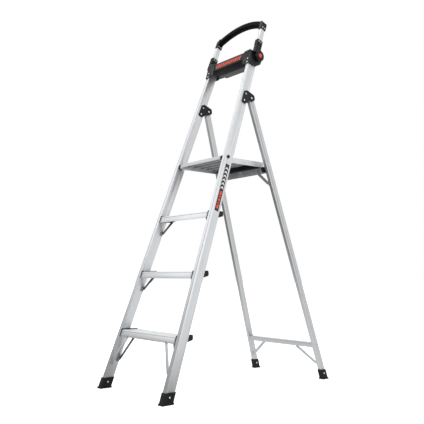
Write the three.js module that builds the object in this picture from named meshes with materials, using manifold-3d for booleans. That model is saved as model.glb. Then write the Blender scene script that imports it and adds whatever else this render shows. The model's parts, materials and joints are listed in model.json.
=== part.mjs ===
// Aluminium platform step ladder: a leaning front frame with three steps, a folding rear frame,
// a folding platform, a tool tray and a folding hand rail.
// Millimetres, +Z up, +Y towards the rear frame, +X to the right of someone facing the steps.
import * as THREE from 'three';
import { mergeVertices } from 'three/addons/utils/BufferGeometryUtils.js';
import Module from 'manifold-3d';

const wasm = await Module();
wasm.setup();

// ---------------------------------------------------------------- driving dimensions

const GAP = 0.3; // between pieces that touch
const PIN_GAP = 0.4; // radial, between a pin and its hole
const LONG = 4000; // longer than anything here, for cutting tools

// Front frame
const RAIL_LEAN = 20; // degrees from upright
const RAIL_SPLAY = 3.1; // degrees, each rail towards the middle as it rises
const FOOT_HALF_WIDTH = 246.7; // middle to a rail's inner face, at the floor
const RAIL = { width: 25, depth: 47, wall: 2.5, corner: 1.5 };
const RAIL_GROOVE = { from: 17, to: 20, deep: 1.2 }; // along the front face
const RAIL_WEB = { from: 13, to: 40, deep: 1.4 }; // sunk into the outer face

// Steps, counted along the rails
const STEP_COUNT = 3;
const STEP_SPACING = 304.8;
const FIRST_STEP = 277.7; // top of the lowest step above the floor
const STEP = { depth: 91, front: 32, rear: 14, plate: 3, wall: 2.5, setback: 1, rib: 42, ribDrop: 20 };
const STEP_EDGE = { front: 1.5, rear: 2 }; // roundings of the tread's edges
const STEP_CAP = {
  thick: 4.5, lip: 4.5, heel: 28, toe: 60, hem: 8, over: 1.5, nose: 20, round: { lip: 1, rear: 8, under: 9 },
};

// Straps that brace steps and crossbars against rails and legs
const STRAP = { width: 16, thick: 2.5, tab: 24, headRound: 7.5, tabRound: 6, bend: 2 };
const LOW_BRACE = { reach: 72, drop: 138 };
const STEP_BRACE = { reach: 64, drop: 80 };
const LOW_BAR_BRACE = { reach: 112, drop: 92 };
const HIGH_BAR_BRACE = { reach: 60, drop: 70 };
const BRACE_HEAD = { step: 9, rib: 6, bar: 8 }; // centre above the lower edge of what it is fixed to

// Rear frame
const PIVOT_ABOVE_PLATFORM = 319.5;
const PIVOT_BEHIND_RAIL = 23; // level, behind the rails' rear faces
const LEG_LEAN = 17.15; // degrees from upright
const LEG_FOOT_OUT = 21.2; // a leg's outer face outboard of the rails' inner faces, at the floor
const LEG = { width: 18.5, depth: 33, wall: 2, corner: 1.5 };
const LEG_GROOVE = { from: -4, to: -1, deep: 0.9 };
const LEG_ABOVE_PIVOT = 10;
const LEG_PLATE_GAP = 0.8; // between a leg and the outer hinge plate
const BAR = { high: 26, deep: 30, wall: 2, setback: 1, edge: 1 };
const LOW_BAR_TOP = 192;

// Feet
const SHOE = { high: 50, wall: 3, sole: 12, flare: 2.6, lip: 7, corner: 2 };

// Hinge between the frames
const HINGE_PLATE = {
  thick: 3.5,
  front: 13, // its front edge behind the rail's front face
  rear: 3, // its rear edge ahead of the rail's rear face
  below: 50, // foot below the pivot
  above: 12, // front top corner above the pivot
  nose: 22.5, // reach around the pivot
  footTaper: 4,
  throat: { behind: 9, below: 4 }, // inner corner above the foot
  chin: { behind: 12.4, below: 14 }, // under the nose
  tip: { behind: 2, above: 2 }, // past the nose's reach
  brow: { behind: 13.5, above: 23.6 }, // over the nose
  crown: { behind: 15, above: 12 }, // past the front top corner
  round: { small: 3, tip: 4, corner: 6, foot: 9, arch: 12 },
};
const HINGE_PIN = { radius: 4, head: 5.2, headThick: 2, headEdge: 1.3, collar: 9 };

// Platform
const PLATFORM_RAIL_GAP = 18; // a side member to the rail's inner face
const PLATFORM_BAR_GAP = 2; // side members above the upper crossbar
const PLATFORM_SIDE = { high: 28, thick: 4, setIn: 1, noseUp: 6, noseRun: 16, noseRound: 8, round: 3 };
const PLATFORM_FRONT = 20; // height of its front edge
const PLATFORM_REST = 17; // how far its rear end passes the crossbar's front face
const PLATFORM_PIVOT = { setback: 17.2, below: 11 };
const DECK = { plate: 3, rib: 2.2, ribDrop: 12, ribPitch: 46, sink: 0.5, edge: { front: 1.5, rear: 2 } };
const REST_STRIP = { depth: 22, ahead: 13, inset: 13, corner: 2 };
const PIVOT_BRACKET = { ahead: 14, behind: 15, drop: 25, railGap: 1.5, corner: 5 };
const PIVOT_BOLT = { radius: 5, head: 8.5, headThick: 4, dome: 1.6, railPlay: 0.6 };
const CATCH = { halfWidth: 18, high: 22, thick: 2, below: 1 };
const CORNER_BLOCK = { width: 22, ahead: 6, deep: 34, over: 0.5, under: 1, corner: 2 };

// Rail tops, tray and hand rail
const RAIL_ABOVE_PIVOT = 233.5;
const CASTING = {
  over: 3, // beyond the rail's front and outer faces
  reach: 29.4, // inboard of the rail, to the end of the tray
  low: 46, // bottom edge below the rail's end
  inside: 41, // height of the rail's side that it leaves open
  arch: { rise: 14, run: 30, round: 10 }, // cut under its front, from the rail to the tray
  sill: 20, // level part of its bottom edge
  chin: { ahead: 3, up: 6 }, // where its bottom edge turns up, from the rail's rear face
  heel: { behind: 25, below: 12 }, // lower rear corner, from the rail's rear face and end
  spur: { behind: 29, above: 14 }, // rearmost corner
  crown: { behind: 15, above: 42 }, // rear top corner
  brow: { ahead: 11, above: 32 }, // front top corner
  round: { sill: 2, brow: 4, chin: 6, corner: 8, spur: 12 },
};
const TRAY = {
  wall: 3, depth: 104, high: 68, inset: 1, fascia: 41, tilt: 12.3, dividers: 2, endRadius: 22,
  belly: 34, // run from the fascia's foot to the floor of the tray
  heel: 26, // run from the floor to the rear wall
  round: { fascia: 4, belly: 16, heel: 14, back: 10 },
};
const HUB = {
  radius: 29, thick: 19.5, ahead: 6.2, above: 19, boss: 20, stub: 9, stubLong: 6.5, edge: 2, seat: 12,
};
const BUTTON = { radius: 11, proud: 3, long: 8, travel: 4, edge: 1.5, edgeDrop: 0.9, dome: 0.3 };
const ARM = {
  clear: 2, // from the casting's cheek
  wide: 20, front: -1, back: 36, above: 83, wall: 1,
  beside: 47, // how far up it stays outboard of the hub's inner face
  flare: { wider: 12, foot: 6, top: 34 }, // where it widens into the hub
  round: { top: 3, foot: 4, flare: 8 },
};
const TUBE = { front: 3.8, back: 32, wall: 2, corner: 3, bore: 1, inArm: 32 };
const HANDLE_CORNER = {
  wall: 2, below: 153, above: 211, chamfer: 15, slope: 1, socket: 25, round: 4, edge: 1,
};
const GRIP = { thick: 36, depth: 31, corner: 11, endAbove: 194, rise: 41.5, stations: 24, past: 1.04 };

// ---------------------------------------------------------------- worked-out places

const lean = THREE.MathUtils.degToRad(RAIL_LEAN);
const splay = THREE.MathUtils.degToRad(RAIL_SPLAY);
const legLean = THREE.MathUtils.degToRad(LEG_LEAN);

const stepTop = (i) => FIRST_STEP + i * STEP_SPACING * Math.cos(lean);
const platformTop = stepTop(STEP_COUNT);
const pivotZ = platformTop + PIVOT_ABOVE_PLATFORM;
const railFrontAt = (z) => z * Math.tan(lean);
const pivotY = railFrontAt(pivotZ) + RAIL.depth / Math.cos(lean) + PIVOT_BEHIND_RAIL;
const railTop = pivotZ + RAIL_ABOVE_PIVOT;

// Distance along a rail of a point at height z and depth y, and the rail's inner face there.
const alongRail = (y, z) => (y * Math.sin(lean) + z * Math.cos(lean)) / Math.cos(splay);
const railInnerAt = (y, z) => FOOT_HALF_WIDTH - alongRail(y, z) * Math.sin(splay);
const railEnd = alongRail(railFrontAt(railTop), railTop);

const legOuterAtPivot = railInnerAt(pivotY, pivotZ) + RAIL.width - LEG_PLATE_GAP + GAP;
const legFootOuter = FOOT_HALF_WIDTH + LEG_FOOT_OUT;
const legWiden = (legFootOuter - legOuterAtPivot) / pivotZ; // per mm of height
const legSplay = Math.atan(legWiden * Math.cos(legLean));
const legFrontAt = (z) => pivotY + (pivotZ - z) * Math.tan(legLean) - LEG.depth / 2 / Math.cos(legLean);
const legInnerAt = (z) => legOuterAtPivot + (pivotZ - z) * legWiden - LEG.width;

const highBarTop = platformTop - PLATFORM_SIDE.high - PLATFORM_BAR_GAP;
const barFrontAt = (z) => legFrontAt(z) + BAR.setback / Math.cos(legLean);
const platformFront = railFrontAt(platformTop) + STEP.setback;
const platformRear = barFrontAt(highBarTop) + PLATFORM_REST;
const platformPivot = {
  y: railFrontAt(platformTop - PLATFORM_PIVOT.below) + PLATFORM_PIVOT.setback,
  z: platformTop - PLATFORM_PIVOT.below,
};
const platformHalf = railInnerAt(platformFront, platformTop) - PLATFORM_RAIL_GAP;

const cheek = RAIL.width + CASTING.over;
const trayEnd = railInnerAt(railFrontAt(railTop), railTop) - CASTING.reach;
const hubT = railEnd + HUB.above;
const hubSetback = RAIL.depth - HUB.ahead;
const arm = { inner: cheek + ARM.clear, outer: cheek + ARM.clear + ARM.wide };
const tube = { inner: arm.inner + ARM.wall, outer: arm.outer - ARM.wall };

// ---------------------------------------------------------------- shaping

/** Closed outline through corners [a, b, radius], each corner rounded by its radius. */
function outline(corners) {
  const shape = new THREE.Shape();
  const count = corners.length;
  corners.forEach(([a, b, radius = 0], i) => {
    const here = new THREE.Vector2(a, b);
    const before = new THREE.Vector2(...corners[(i + count - 1) % count].slice(0, 2));
    const after = new THREE.Vector2(...corners[(i + 1) % count].slice(0, 2));
    const into = here.clone().sub(before).normalize();
    const out = after.clone().sub(here).normalize();
    const turn = Math.abs(Math.asin(THREE.MathUtils.clamp(into.cross(out), -1, 1)));
    const bend = into.dot(out) < 0 ? Math.PI - turn : turn;
    const back = radius * Math.tan(bend / 2);
    const start = here.clone().addScaledVector(into, -back);
    const end = here.clone().addScaledVector(out, back);
    if (i === 0) shape.moveTo(start.x, start.y);
    else shape.lineTo(start.x, start.y);
    if (radius > 0) shape.quadraticCurveTo(here.x, here.y, end.x, end.y);
  });
  shape.closePath();
  return shape;
}

const box2 = (a0, b0, a1, b1, r = 0) => outline([[a0, b0, r], [a1, b0, r], [a1, b1, r], [a0, b1, r]]);

/** Straight extrusion of a shape; basis names the axes that its two directions and length follow. */
function prism(shape, length, basis, start, curveSegments = 3) {
  const geometry = new THREE.ExtrudeGeometry(shape, { depth: length, bevelEnabled: false, curveSegments });
  geometry.applyMatrix4(new THREE.Matrix4().makeBasis(...basis));
  geometry.translate(...start);
  return geometry;
}

const X = new THREE.Vector3(1, 0, 0);
const Y = new THREE.Vector3(0, 1, 0);
const Z = new THREE.Vector3(0, 0, 1);
const FORWARD = new THREE.Vector3(0, -1, 0);
const prismX = (shape, x0, x1, segments) => prism(shape, x1 - x0, [Y, Z, X], [x0, 0, 0], segments);
const prismY = (shape, y0, y1, segments) => prism(shape, y1 - y0, [X, Z, FORWARD], [0, y1, 0], segments);
const prismZ = (shape, z0, z1, segments) => prism(shape, z1 - z0, [X, Y, Z], [0, 0, z0], segments);

/** Turned piece along X from [radius, x] points that start and end on the axis. */
function turned(points, y = 0, z = 0, segments = 20) {
  const profile = points.map(([radius, x]) => new THREE.Vector2(radius, x));
  const geometry = new THREE.LatheGeometry(profile, segments);
  geometry.rotateZ(-Math.PI / 2);
  geometry.translate(0, y, z);
  return geometry;
}

const rod = (radius, x0, x1, y, z, segments) => {
  const profile = [[0, x0], [radius, x0], [radius, x1], [0, x1]];
  return turned(profile, y, z, segments);
};

/** Welded solid of a closed geometry, ready to join or cut. */
function solid(geometry) {
  const plain = geometry.clone();
  plain.deleteAttribute('normal');
  plain.deleteAttribute('uv');
  const welded = mergeVertices(plain, 1e-4);
  const index = welded.index.array;
  const triangles = [];
  for (let i = 0; i < index.length; i += 3) {
    const [a, b, c] = [index[i], index[i + 1], index[i + 2]];
    if (a !== b && b !== c && c !== a) triangles.push(a, b, c);
  }
  const vertProperties = Float32Array.from(welded.attributes.position.array);
  const triVerts = Uint32Array.from(triangles);
  return new wasm.Manifold(new wasm.Mesh({ numProp: 3, vertProperties, triVerts }));
}

function surface(body) {
  const mesh = body.getMesh();
  const geometry = new THREE.BufferGeometry();
  geometry.setAttribute('position', new THREE.BufferAttribute(mesh.vertProperties, 3));
  geometry.setIndex(new THREE.BufferAttribute(mesh.triVerts, 1));
  geometry.computeVertexNormals();
  return geometry;
}

const combine = (pieces, how) => surface(pieces.map(solid).reduce((all, one) => all[how](one)));
const join = (...pieces) => combine(pieces, 'add');
const cut = (...pieces) => combine(pieces, 'subtract'); // the first, less the others
const common = (...pieces) => combine(pieces, 'intersect');

/** The same piece for the other side, still facing outwards. */
function mirrored(geometry) {
  const copy = geometry.clone();
  copy.applyMatrix4(new THREE.Matrix4().makeScale(-1, 1, 1));
  const index = copy.index.array;
  for (let i = 0; i < index.length; i += 3) {
    [index[i], index[i + 1]] = [index[i + 1], index[i]];
  }
  copy.computeVertexNormals();
  return copy;
}

// ---------------------------------------------------------------- finishes

const FINISH = {
  aluminium: { color: 0xc9ccce, roughness: 0.38, metalness: 0.9 },
  bright: { color: 0xdcdedf, roughness: 0.28, metalness: 1.0 },
  plastic: { color: 0x2b2c2e, roughness: 0.55, metalness: 0.0 },
  rubber: { color: 0x1f2022, roughness: 0.85, metalness: 0.0 },
  orange: { color: 0xe8502f, roughness: 0.45, metalness: 0.0 },
};

function mesh(parent, name, geometry, finish) {
  const whole = geometry.index ? geometry : surface(solid(geometry));
  const piece = new THREE.Mesh(whole, new THREE.MeshStandardMaterial(FINISH[finish]));
  piece.name = name;
  parent.add(piece);
  return piece;
}

// ---------------------------------------------------------------- frames of reference

const part = new THREE.Group();
const ladder = new THREE.Group(); // Y runs from the rails' front faces at the floor
part.add(ladder);

const SIDES = [
  { name: 'left', sign: -1 },
  { name: 'right', sign: 1 },
];

/** Leans back with the rails, about the front of their feet. */
function leaningFrame() {
  const leaning = new THREE.Group();
  leaning.rotation.x = -lean;
  ladder.add(leaning);
  leaning.updateWorldMatrix(true, false);
  return leaning;
}

/** A rail's own frame: x outwards from its inner face, y from its front face, z along it. */
function railFrame(sign) {
  const leaning = leaningFrame();
  const frame = new THREE.Group();
  frame.position.x = sign * FOOT_HALF_WIDTH;
  frame.rotation.y = -sign * splay;
  leaning.add(frame);
  frame.updateWorldMatrix(true, false);
  return frame;
}

/** A leg's own frame: x outwards from its outer face, y from its middle, z along it from the pivot. */
function legFrame(sign) {
  const leaning = new THREE.Group();
  leaning.position.set(0, pivotY, pivotZ);
  leaning.rotation.x = legLean;
  ladder.add(leaning);
  const frame = new THREE.Group();
  frame.position.x = sign * legOuterAtPivot;
  frame.rotation.y = -sign * legSplay;
  leaning.add(frame);
  frame.updateWorldMatrix(true, false);
  return frame;
}

/** A piece given in the ladder's frame, seen from a right-hand rail's or leg's own frame. */
function seenFrom(frame, geometry) {
  return geometry.clone().applyMatrix4(frame.matrixWorld.clone().invert());
}

const levelSlab = (frame, z0, z1) => seenFrom(frame, prismZ(box2(-LONG, -LONG, LONG, LONG), z0, z1));
const outboardOf = (x) => prismZ(box2(x, -LONG, LONG, LONG), -LONG, LONG);

const rightRail = railFrame(1);
const rightLeg = legFrame(1);
const railFrames = { left: railFrame(-1), right: rightRail };
const legFrames = { left: legFrame(-1), right: rightLeg };
const gripFrame = leaningFrame();

/** Adds the left and right copies of a piece modelled for the right-hand side. */
function pair(frames, name, geometry, finish) {
  for (const side of SIDES) {
    const shape = side.sign > 0 ? geometry : mirrored(geometry.index ? geometry : surface(solid(geometry)));
    mesh(frames[side.name] ?? ladder, name.replace('SIDE', side.name), shape, finish);
  }
}

const bothSides = { left: ladder, right: ladder };

// ---------------------------------------------------------------- front frame

function railSection() {
  const { width, depth, wall, corner } = RAIL;
  const section = outline([
    [0, 0, corner],
    [RAIL_GROOVE.from, 0],
    [RAIL_GROOVE.from, RAIL_GROOVE.deep],
    [RAIL_GROOVE.to, RAIL_GROOVE.deep],
    [RAIL_GROOVE.to, 0],
    [width, 0, corner],
    [width, RAIL_WEB.from],
    [width - RAIL_WEB.deep, RAIL_WEB.from + RAIL_WEB.deep],
    [width - RAIL_WEB.deep, RAIL_WEB.to - RAIL_WEB.deep],
    [width, RAIL_WEB.to],
    [width, depth, corner],
    [0, depth, corner],
  ]);
  section.holes.push(box2(wall, wall, width - RAIL_WEB.deep - wall, depth - wall));
  return section;
}

function frontRail() {
  const bar = prismZ(railSection(), 0, railEnd, 2);
  const bolt = PIVOT_BOLT.radius + PIVOT_BOLT.railPlay;
  const boltHole = rod(bolt, 0, LONG, platformPivot.y, platformPivot.z, 16);
  const above = levelSlab(rightRail, SHOE.sole + GAP, LONG);
  return cut(common(bar, above), seenFrom(rightRail, boltHole));
}

/** A shoe around the section [x0, y0, x1, y1] of a rail or leg, level at its sole and its top. */
function shoe(frame, [x0, y0, x1, y1]) {
  const around = (m) => prismZ(box2(x0 - m, y0 - m, x1 + m, y1 + m, SHOE.corner), -LONG, LONG);
  const cup = common(around(SHOE.wall), levelSlab(frame, 0, SHOE.high));
  const lip = common(around(SHOE.wall + SHOE.flare), levelSlab(frame, 0, SHOE.lip));
  const pocket = common(
    prismZ(box2(x0 - GAP, y0 - GAP, x1 + GAP, y1 + GAP), -LONG, LONG),
    levelSlab(frame, SHOE.sole, LONG),
  );
  return cut(join(cup, lip), pocket);
}

/** All that lies inboard of a distance outwards from the zero plane of a rail's or leg's own frame. */
function inboardOf(frame, sign, outward) {
  const [from, to] = sign > 0 ? [-LONG, outward] : [-outward, LONG];
  return prismZ(box2(from, -LONG, to, LONG), -LONG, LONG).applyMatrix4(frame.matrixWorld);
}

/** The space between the rails' inner faces, less a clearance. */
function betweenRails(clearance) {
  return SIDES.map(({ name, sign }) => inboardOf(railFrames[name], sign, -clearance));
}

/** Step section, [y, z] from the front top corner of the tread; its flanges lean with the rails. */
function stepSection() {
  const back = (z) => z * Math.tan(lean);
  const { depth, front, rear, plate, wall, rib, ribDrop } = STEP;
  return outline([
    [0, 0, STEP_EDGE.front],
    [back(-front), -front],
    [back(-front) + wall, -front],
    [back(-plate) + wall, -plate],
    [rib + back(-plate), -plate],
    [rib + back(-ribDrop), -ribDrop],
    [rib + back(-ribDrop) + wall, -ribDrop],
    [rib + back(-plate) + wall, -plate],
    [depth - wall, -plate],
    [depth - wall, -rear],
    [depth, -rear],
    [depth, 0, STEP_EDGE.rear],
  ]);
}

function stepCapSection() {
  const { lip, heel, toe, hem, over, nose, round } = STEP_CAP;
  const back = (z) => z * Math.tan(lean);
  return outline([
    [-STEP.setback, lip, round.lip],
    [back(-STEP.front) - STEP.setback, -STEP.front],
    [back(-STEP.front) + hem, -STEP.front],
    [STEP.rib, -heel],
    [toe, -heel, round.under],
    [STEP.depth + over, -nose, round.under],
    [STEP.depth + over, lip, round.rear],
  ]);
}

function steps() {
  for (let i = 0; i < STEP_COUNT; i += 1) {
    const z = stepTop(i);
    const y = railFrontAt(z) + STEP.setback;
    const number = i + 1;
    const bar = prismX(stepSection(), -FOOT_HALF_WIDTH, FOOT_HALF_WIDTH, 2).translate(0, y, z);
    mesh(ladder, `step_${number}`, common(bar, ...betweenRails(STEP_CAP.thick + 2 * GAP)), 'aluminium');
    const block = prismX(stepCapSection(), 0, FOOT_HALF_WIDTH, 3).translate(0, y, z);
    const inRight = inboardOf(rightRail, 1, -GAP);
    const beyondStep = prismZ(box2(-STEP_CAP.thick - GAP, -LONG, LONG, LONG), -LONG, LONG);
    const cap = common(block, inRight, beyondStep.applyMatrix4(rightRail.matrixWorld));
    pair(bothSides, `step_${number}_SIDE_cap`, cap, 'plastic');
  }
}

/**
 * A flat strap from a rail or leg up to a step or crossbar, with a tab turned flat on the face.
 * It lies at depth y, its head is `reach` inboard of the face at height `top`, and its foot
 * is `drop` lower; `tabTurn` is +1 where the tab turns backwards and -1 where it turns forwards.
 */
function kneeBrace({ face, y, top, reach, drop, tabTurn }) {
  const { width, thick, tab, headRound, tabRound, bend } = STRAP;
  const head = new THREE.Vector2(face - GAP - reach, top);
  const foot = new THREE.Vector2(face - GAP - thick / 2, top - drop);
  const along = head.clone().sub(foot).normalize();
  const across = new THREE.Vector2(-along.y, along.x).multiplyScalar(width / 2);
  const tip = head.clone().addScaledVector(along, width / 2);
  const heel = foot.clone().addScaledVector(along, -width / 2);
  const sides = [
    [heel.x + across.x, heel.y + across.y],
    [heel.x - across.x, heel.y - across.y],
    [tip.x - across.x, tip.y - across.y, headRound],
    [tip.x + across.x, tip.y + across.y, headRound],
  ];
  const strap = prismY(outline(sides), y, y + thick, 4);
  const inboard = prismZ(box2(-LONG, -LONG, face - GAP, LONG), -LONG, LONG);
  const aboveFoot = prismZ(box2(-LONG, -LONG, LONG, LONG), foot.y - bend, LONG);
  const from = tabTurn > 0 ? y : y + thick - width;
  const lug = box2(from, foot.y - tab / 2, from + width, foot.y + tab / 2, tabRound);
  const flat = prismX(lug, face - GAP - thick, face - GAP, 4);
  return join(common(strap, inboard, aboveFoot), flat);
}

function stepBraces() {
  const frontOf = (STEP.setback + STEP.wall) * Math.cos(lean) + GAP;
  const rearOf = (STEP.setback + STEP.rib + STEP.wall) * Math.cos(lean) + GAP;
  const headAt = (i, drop, y) => alongRail(railFrontAt(stepTop(i) - drop) + y, stepTop(i) - drop);
  for (let i = 0; i < STEP_COUNT; i += 1) {
    const brace = i === 0 ? LOW_BRACE : STEP_BRACE;
    const top = headAt(i, STEP.ribDrop - BRACE_HEAD.rib, STEP.rib);
    const rear = kneeBrace({ ...brace, face: 0, y: rearOf, top, tabTurn: -1 });
    const name = i === 0 ? 'step_1_SIDE_rear_brace' : `step_${i + 1}_SIDE_brace`;
    pair(railFrames, name, rear, 'aluminium');
  }
  const top = headAt(0, STEP.front - BRACE_HEAD.step, 0);
  const front = kneeBrace({ ...LOW_BRACE, face: 0, y: frontOf, top, tabTurn: 1 });
  pair(railFrames, 'step_1_SIDE_front_brace', front, 'aluminium');
}

function hingePlate(x0) {
  const onRail = new THREE.Vector3(railInnerAt(pivotY, pivotZ) + RAIL.width / 2, pivotY, pivotZ);
  const { y, z } = rightRail.worldToLocal(onRail);
  const { thick, nose, front, rear, below, above, footTaper } = HINGE_PLATE;
  const { throat, chin, tip, brow, crown, round } = HINGE_PLATE;
  const back = RAIL.depth - rear;
  const plate = outline([
    [front, z - below, round.corner],
    [back - footTaper, z - below, round.foot],
    [back + throat.behind, z - nose - throat.below, round.small],
    [y + chin.behind, z - chin.below, round.small],
    [y + nose + tip.behind, z + tip.above, round.tip],
    [y + brow.behind, z + brow.above, round.arch],
    [front + crown.behind, z + above + crown.above, round.arch],
    [front, z + above, round.corner],
  ]);
  const hole = rod(HINGE_PIN.radius + PIN_GAP, 0, LONG, pivotY, pivotZ, 16);
  return cut(prismX(plate, x0, x0 + thick, 4), seenFrom(rightRail, hole));
}

function hingePin() {
  const rail = railInnerAt(pivotY, pivotZ);
  const { radius, head, headThick, headEdge, collar } = HINGE_PIN;
  const edge = head - headEdge;
  const tilt = head * Math.tan(splay) + GAP;
  const inner = rail - GAP - HINGE_PLATE.thick - tilt;
  const outer = rail + RAIL.width + GAP + HINGE_PLATE.thick + tilt;
  const collarIn = rail + collar * Math.tan(splay);
  const collarOut = legOuterAtPivot - LEG.width - collar * Math.tan(legSplay) - GAP;
  return turned([
    [0, inner - headThick], [edge, inner - headThick], [head, inner - headThick / 2], [head, inner],
    [radius, inner], [radius, collarIn], [collar, collarIn], [collar, collarOut], [radius, collarOut],
    [radius, outer], [head, outer], [head, outer + headThick / 2], [edge, outer + headThick],
    [0, outer + headThick],
  ], pivotY, pivotZ);
}

/** Cover and bearing at the top of a rail, with a boss for the hand rail's hub. */
function endCasting() {
  const { over, low, inside, arch, sill, chin, heel, spur, crown, brow, round } = CASTING;
  const { depth, width } = RAIL;
  const side = outline([
    [-over, railEnd - low, round.sill],
    [sill, railEnd - low],
    [depth - chin.ahead, railEnd - low + chin.up, round.chin],
    [depth + heel.behind, railEnd - heel.below, round.corner],
    [depth + spur.behind, railEnd + spur.above, round.spur],
    [depth + crown.behind, railEnd + crown.above, round.corner],
    [-brow.ahead, railEnd + brow.above, round.brow],
  ]);
  const block = prismX(side, -LONG, cheek, 4);
  const railSpace = prismZ(box2(-GAP, -GAP, width + GAP, depth + GAP), 0, railEnd + GAP);
  const besideRail = prismX(box2(-GAP, 0, LONG, railEnd - low + inside), -LONG, width / 2);
  const belowFront = outline([
    [-LONG, 0],
    [cheek + over, 0],
    [cheek + over, railEnd - low + 1],
    [-arch.run, railEnd - low + arch.rise, arch.round],
    [-LONG, railEnd - low + arch.rise],
  ]);
  const frontArch = prismY(belowFront, -LONG, 0, 4);
  const traySpace = seenFrom(rightRail, prismZ(box2(-LONG, -LONG, trayEnd, LONG), -LONG, LONG));
  const [hubY, hubZ] = hubPlace();
  const face = hubFace();
  const boss = rod(HUB.boss, face - HUB.seat, face - GAP, hubY, hubZ, 24);
  const stub = rod(HUB.stub, face - HUB.seat, face + HUB.stubLong, hubY, hubZ, 16);
  const cover = cut(block, traySpace, besideRail, frontArch);
  return cut(join(cover, seenFrom(rightRail, boss), seenFrom(rightRail, stub)), railSpace);
}

/** Where the hub's axis crosses the ladder's Y and Z. */
function hubPlace() {
  const centre = rightRail.localToWorld(new THREE.Vector3(cheek, hubSetback, hubT));
  return [centre.y, centre.z];
}

/** Inner face of the hub, clear of the casting's sloping cheek. */
function hubFace() {
  const low = rightRail.localToWorld(new THREE.Vector3(cheek, hubSetback, hubT - HUB.radius));
  return low.x + 2 * GAP;
}

/** Tool tray between the castings, open at the top, rounded up at its ends. */
function toolTray() {
  const { wall, depth, high, inset, fascia, tilt, dividers, endRadius, belly, heel, round } = TRAY;
  const { ahead, above } = CASTING.brow;
  const topFront = rightRail.localToWorld(new THREE.Vector3(0, inset - ahead, railEnd + above - inset));
  const [y, z] = [topFront.y, topFront.z];
  const half = trayEnd - GAP;
  const fasciaFoot = y - fascia * Math.tan(THREE.MathUtils.degToRad(tilt));
  const section = (margin) => {
    const top = margin > 0 ? z + LONG : z;
    const corners = [
      [y + margin, z, 0],
      [fasciaFoot + margin, z - fascia, round.fascia],
      [fasciaFoot + belly + margin, z - high + margin, round.belly],
      [y + depth - heel - margin, z - high + margin, round.heel],
      [y + depth - margin, z - high / 2, round.back],
      [y + depth - margin, top],
    ];
    if (margin > 0) corners.push([y + margin, top]);
    return outline(corners);
  };
  const ends = (margin) => box2(-half + margin, z - high + margin, half - margin, z + LONG, endRadius);
  const shell = (margin, x0, x1) => {
    const along = prismX(section(margin), x0, x1, 5);
    return common(along, prismY(ends(margin), 0, LONG, 5));
  };
  const bay = (2 * half - (dividers + 2) * wall) / (dividers + 1);
  const bays = [];
  for (let i = 0; i <= dividers; i += 1) {
    const x0 = -half + wall + i * (bay + wall);
    bays.push(shell(wall, x0, x0 + bay));
  }
  return cut(shell(0, -half, half), ...bays);
}

function frontFrame() {
  pair(railFrames, 'SIDE_front_rail', frontRail(), 'aluminium');
  pair(railFrames, 'SIDE_front_shoe', shoe(rightRail, [0, 0, RAIL.width, RAIL.depth]), 'rubber');
  steps();
  stepBraces();
  pair(railFrames, 'SIDE_inner_hinge_plate', hingePlate(-GAP - HINGE_PLATE.thick), 'plastic');
  pair(railFrames, 'SIDE_outer_hinge_plate', hingePlate(RAIL.width + GAP), 'plastic');
  pair(bothSides, 'SIDE_hinge_pin', hingePin(), 'bright');
  pair(railFrames, 'SIDE_end_casting', endCasting(), 'plastic');
  mesh(ladder, 'tool_tray', toolTray(), 'plastic');
}

// ---------------------------------------------------------------- rear frame

function legSection() {
  const { width, depth, wall, corner } = LEG;
  const half = depth / 2;
  const section = outline([
    [-width, -half, corner],
    [0, -half, corner],
    [0, LEG_GROOVE.from],
    [-LEG_GROOVE.deep, LEG_GROOVE.from],
    [-LEG_GROOVE.deep, LEG_GROOVE.to],
    [0, LEG_GROOVE.to],
    [0, half, corner],
    [-width, half, corner],
  ]);
  section.holes.push(box2(-width + wall, -half + wall, -LEG_GROOVE.deep - wall, half - wall));
  return section;
}

function rearLeg() {
  const bar = prismZ(legSection(), -LONG, LEG_ABOVE_PIVOT, 2);
  const hole = rod(HINGE_PIN.radius + PIN_GAP, 0, LONG, pivotY, pivotZ, 16);
  return cut(common(bar, levelSlab(rightLeg, SHOE.sole + GAP, LONG)), seenFrom(rightLeg, hole));
}

/** Downward-open channel between the legs, its top level at z. */
function crossbar(z, endGap) {
  const { high, deep, wall, edge } = BAR;
  const back = (drop) => drop * Math.tan(legLean);
  const y = barFrontAt(z);
  const section = outline([
    [y, z, edge],
    [y + back(high), z - high],
    [y + back(high) + wall, z - high],
    [y + back(wall) + wall, z - wall],
    [y + back(wall) + deep - wall, z - wall],
    [y + back(high) + deep - wall, z - high],
    [y + back(high) + deep, z - high],
    [y + deep, z, edge],
  ]);
  const bar = prismX(section, -legFootOuter, legFootOuter, 2);
  const ends = SIDES.map(({ name, sign }) => inboardOf(legFrames[name], sign, -LEG.width - endGap));
  return common(bar, ...ends);
}

/** Black block that ties the upper crossbar to a leg. */
function cornerBlock() {
  const { width, ahead, deep, over, under, corner } = CORNER_BLOCK;
  const front = -LEG.depth / 2 + BAR.setback - ahead;
  const section = box2(-LEG.width - width, front, -LEG.width - GAP, front + ahead + deep, corner);
  const block = prismZ(section, -LONG, LEG_ABOVE_PIVOT);
  return common(block, levelSlab(rightLeg, highBarTop - BAR.high - under, highBarTop + over));
}

function rearBraces() {
  const face = -LEG.width;
  const front = -LEG.depth / 2 + BAR.setback;
  const place = (z) => (z - pivotZ) / Math.cos(legLean) / Math.cos(legSplay);
  const lowTop = place(LOW_BAR_TOP - BAR.high + BRACE_HEAD.bar);
  const highTop = place(highBarTop - BAR.high / 2);
  const low = kneeBrace({ ...LOW_BAR_BRACE, face, y: front + BAR.wall + GAP, top: lowTop, tabTurn: 1 });
  const high = kneeBrace({ ...HIGH_BAR_BRACE, face, y: front - STRAP.thick - GAP, top: highTop, tabTurn: 1 });
  pair(legFrames, 'lower_SIDE_leg_brace', low, 'aluminium');
  pair(legFrames, 'upper_SIDE_leg_brace', high, 'aluminium');
}

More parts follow.
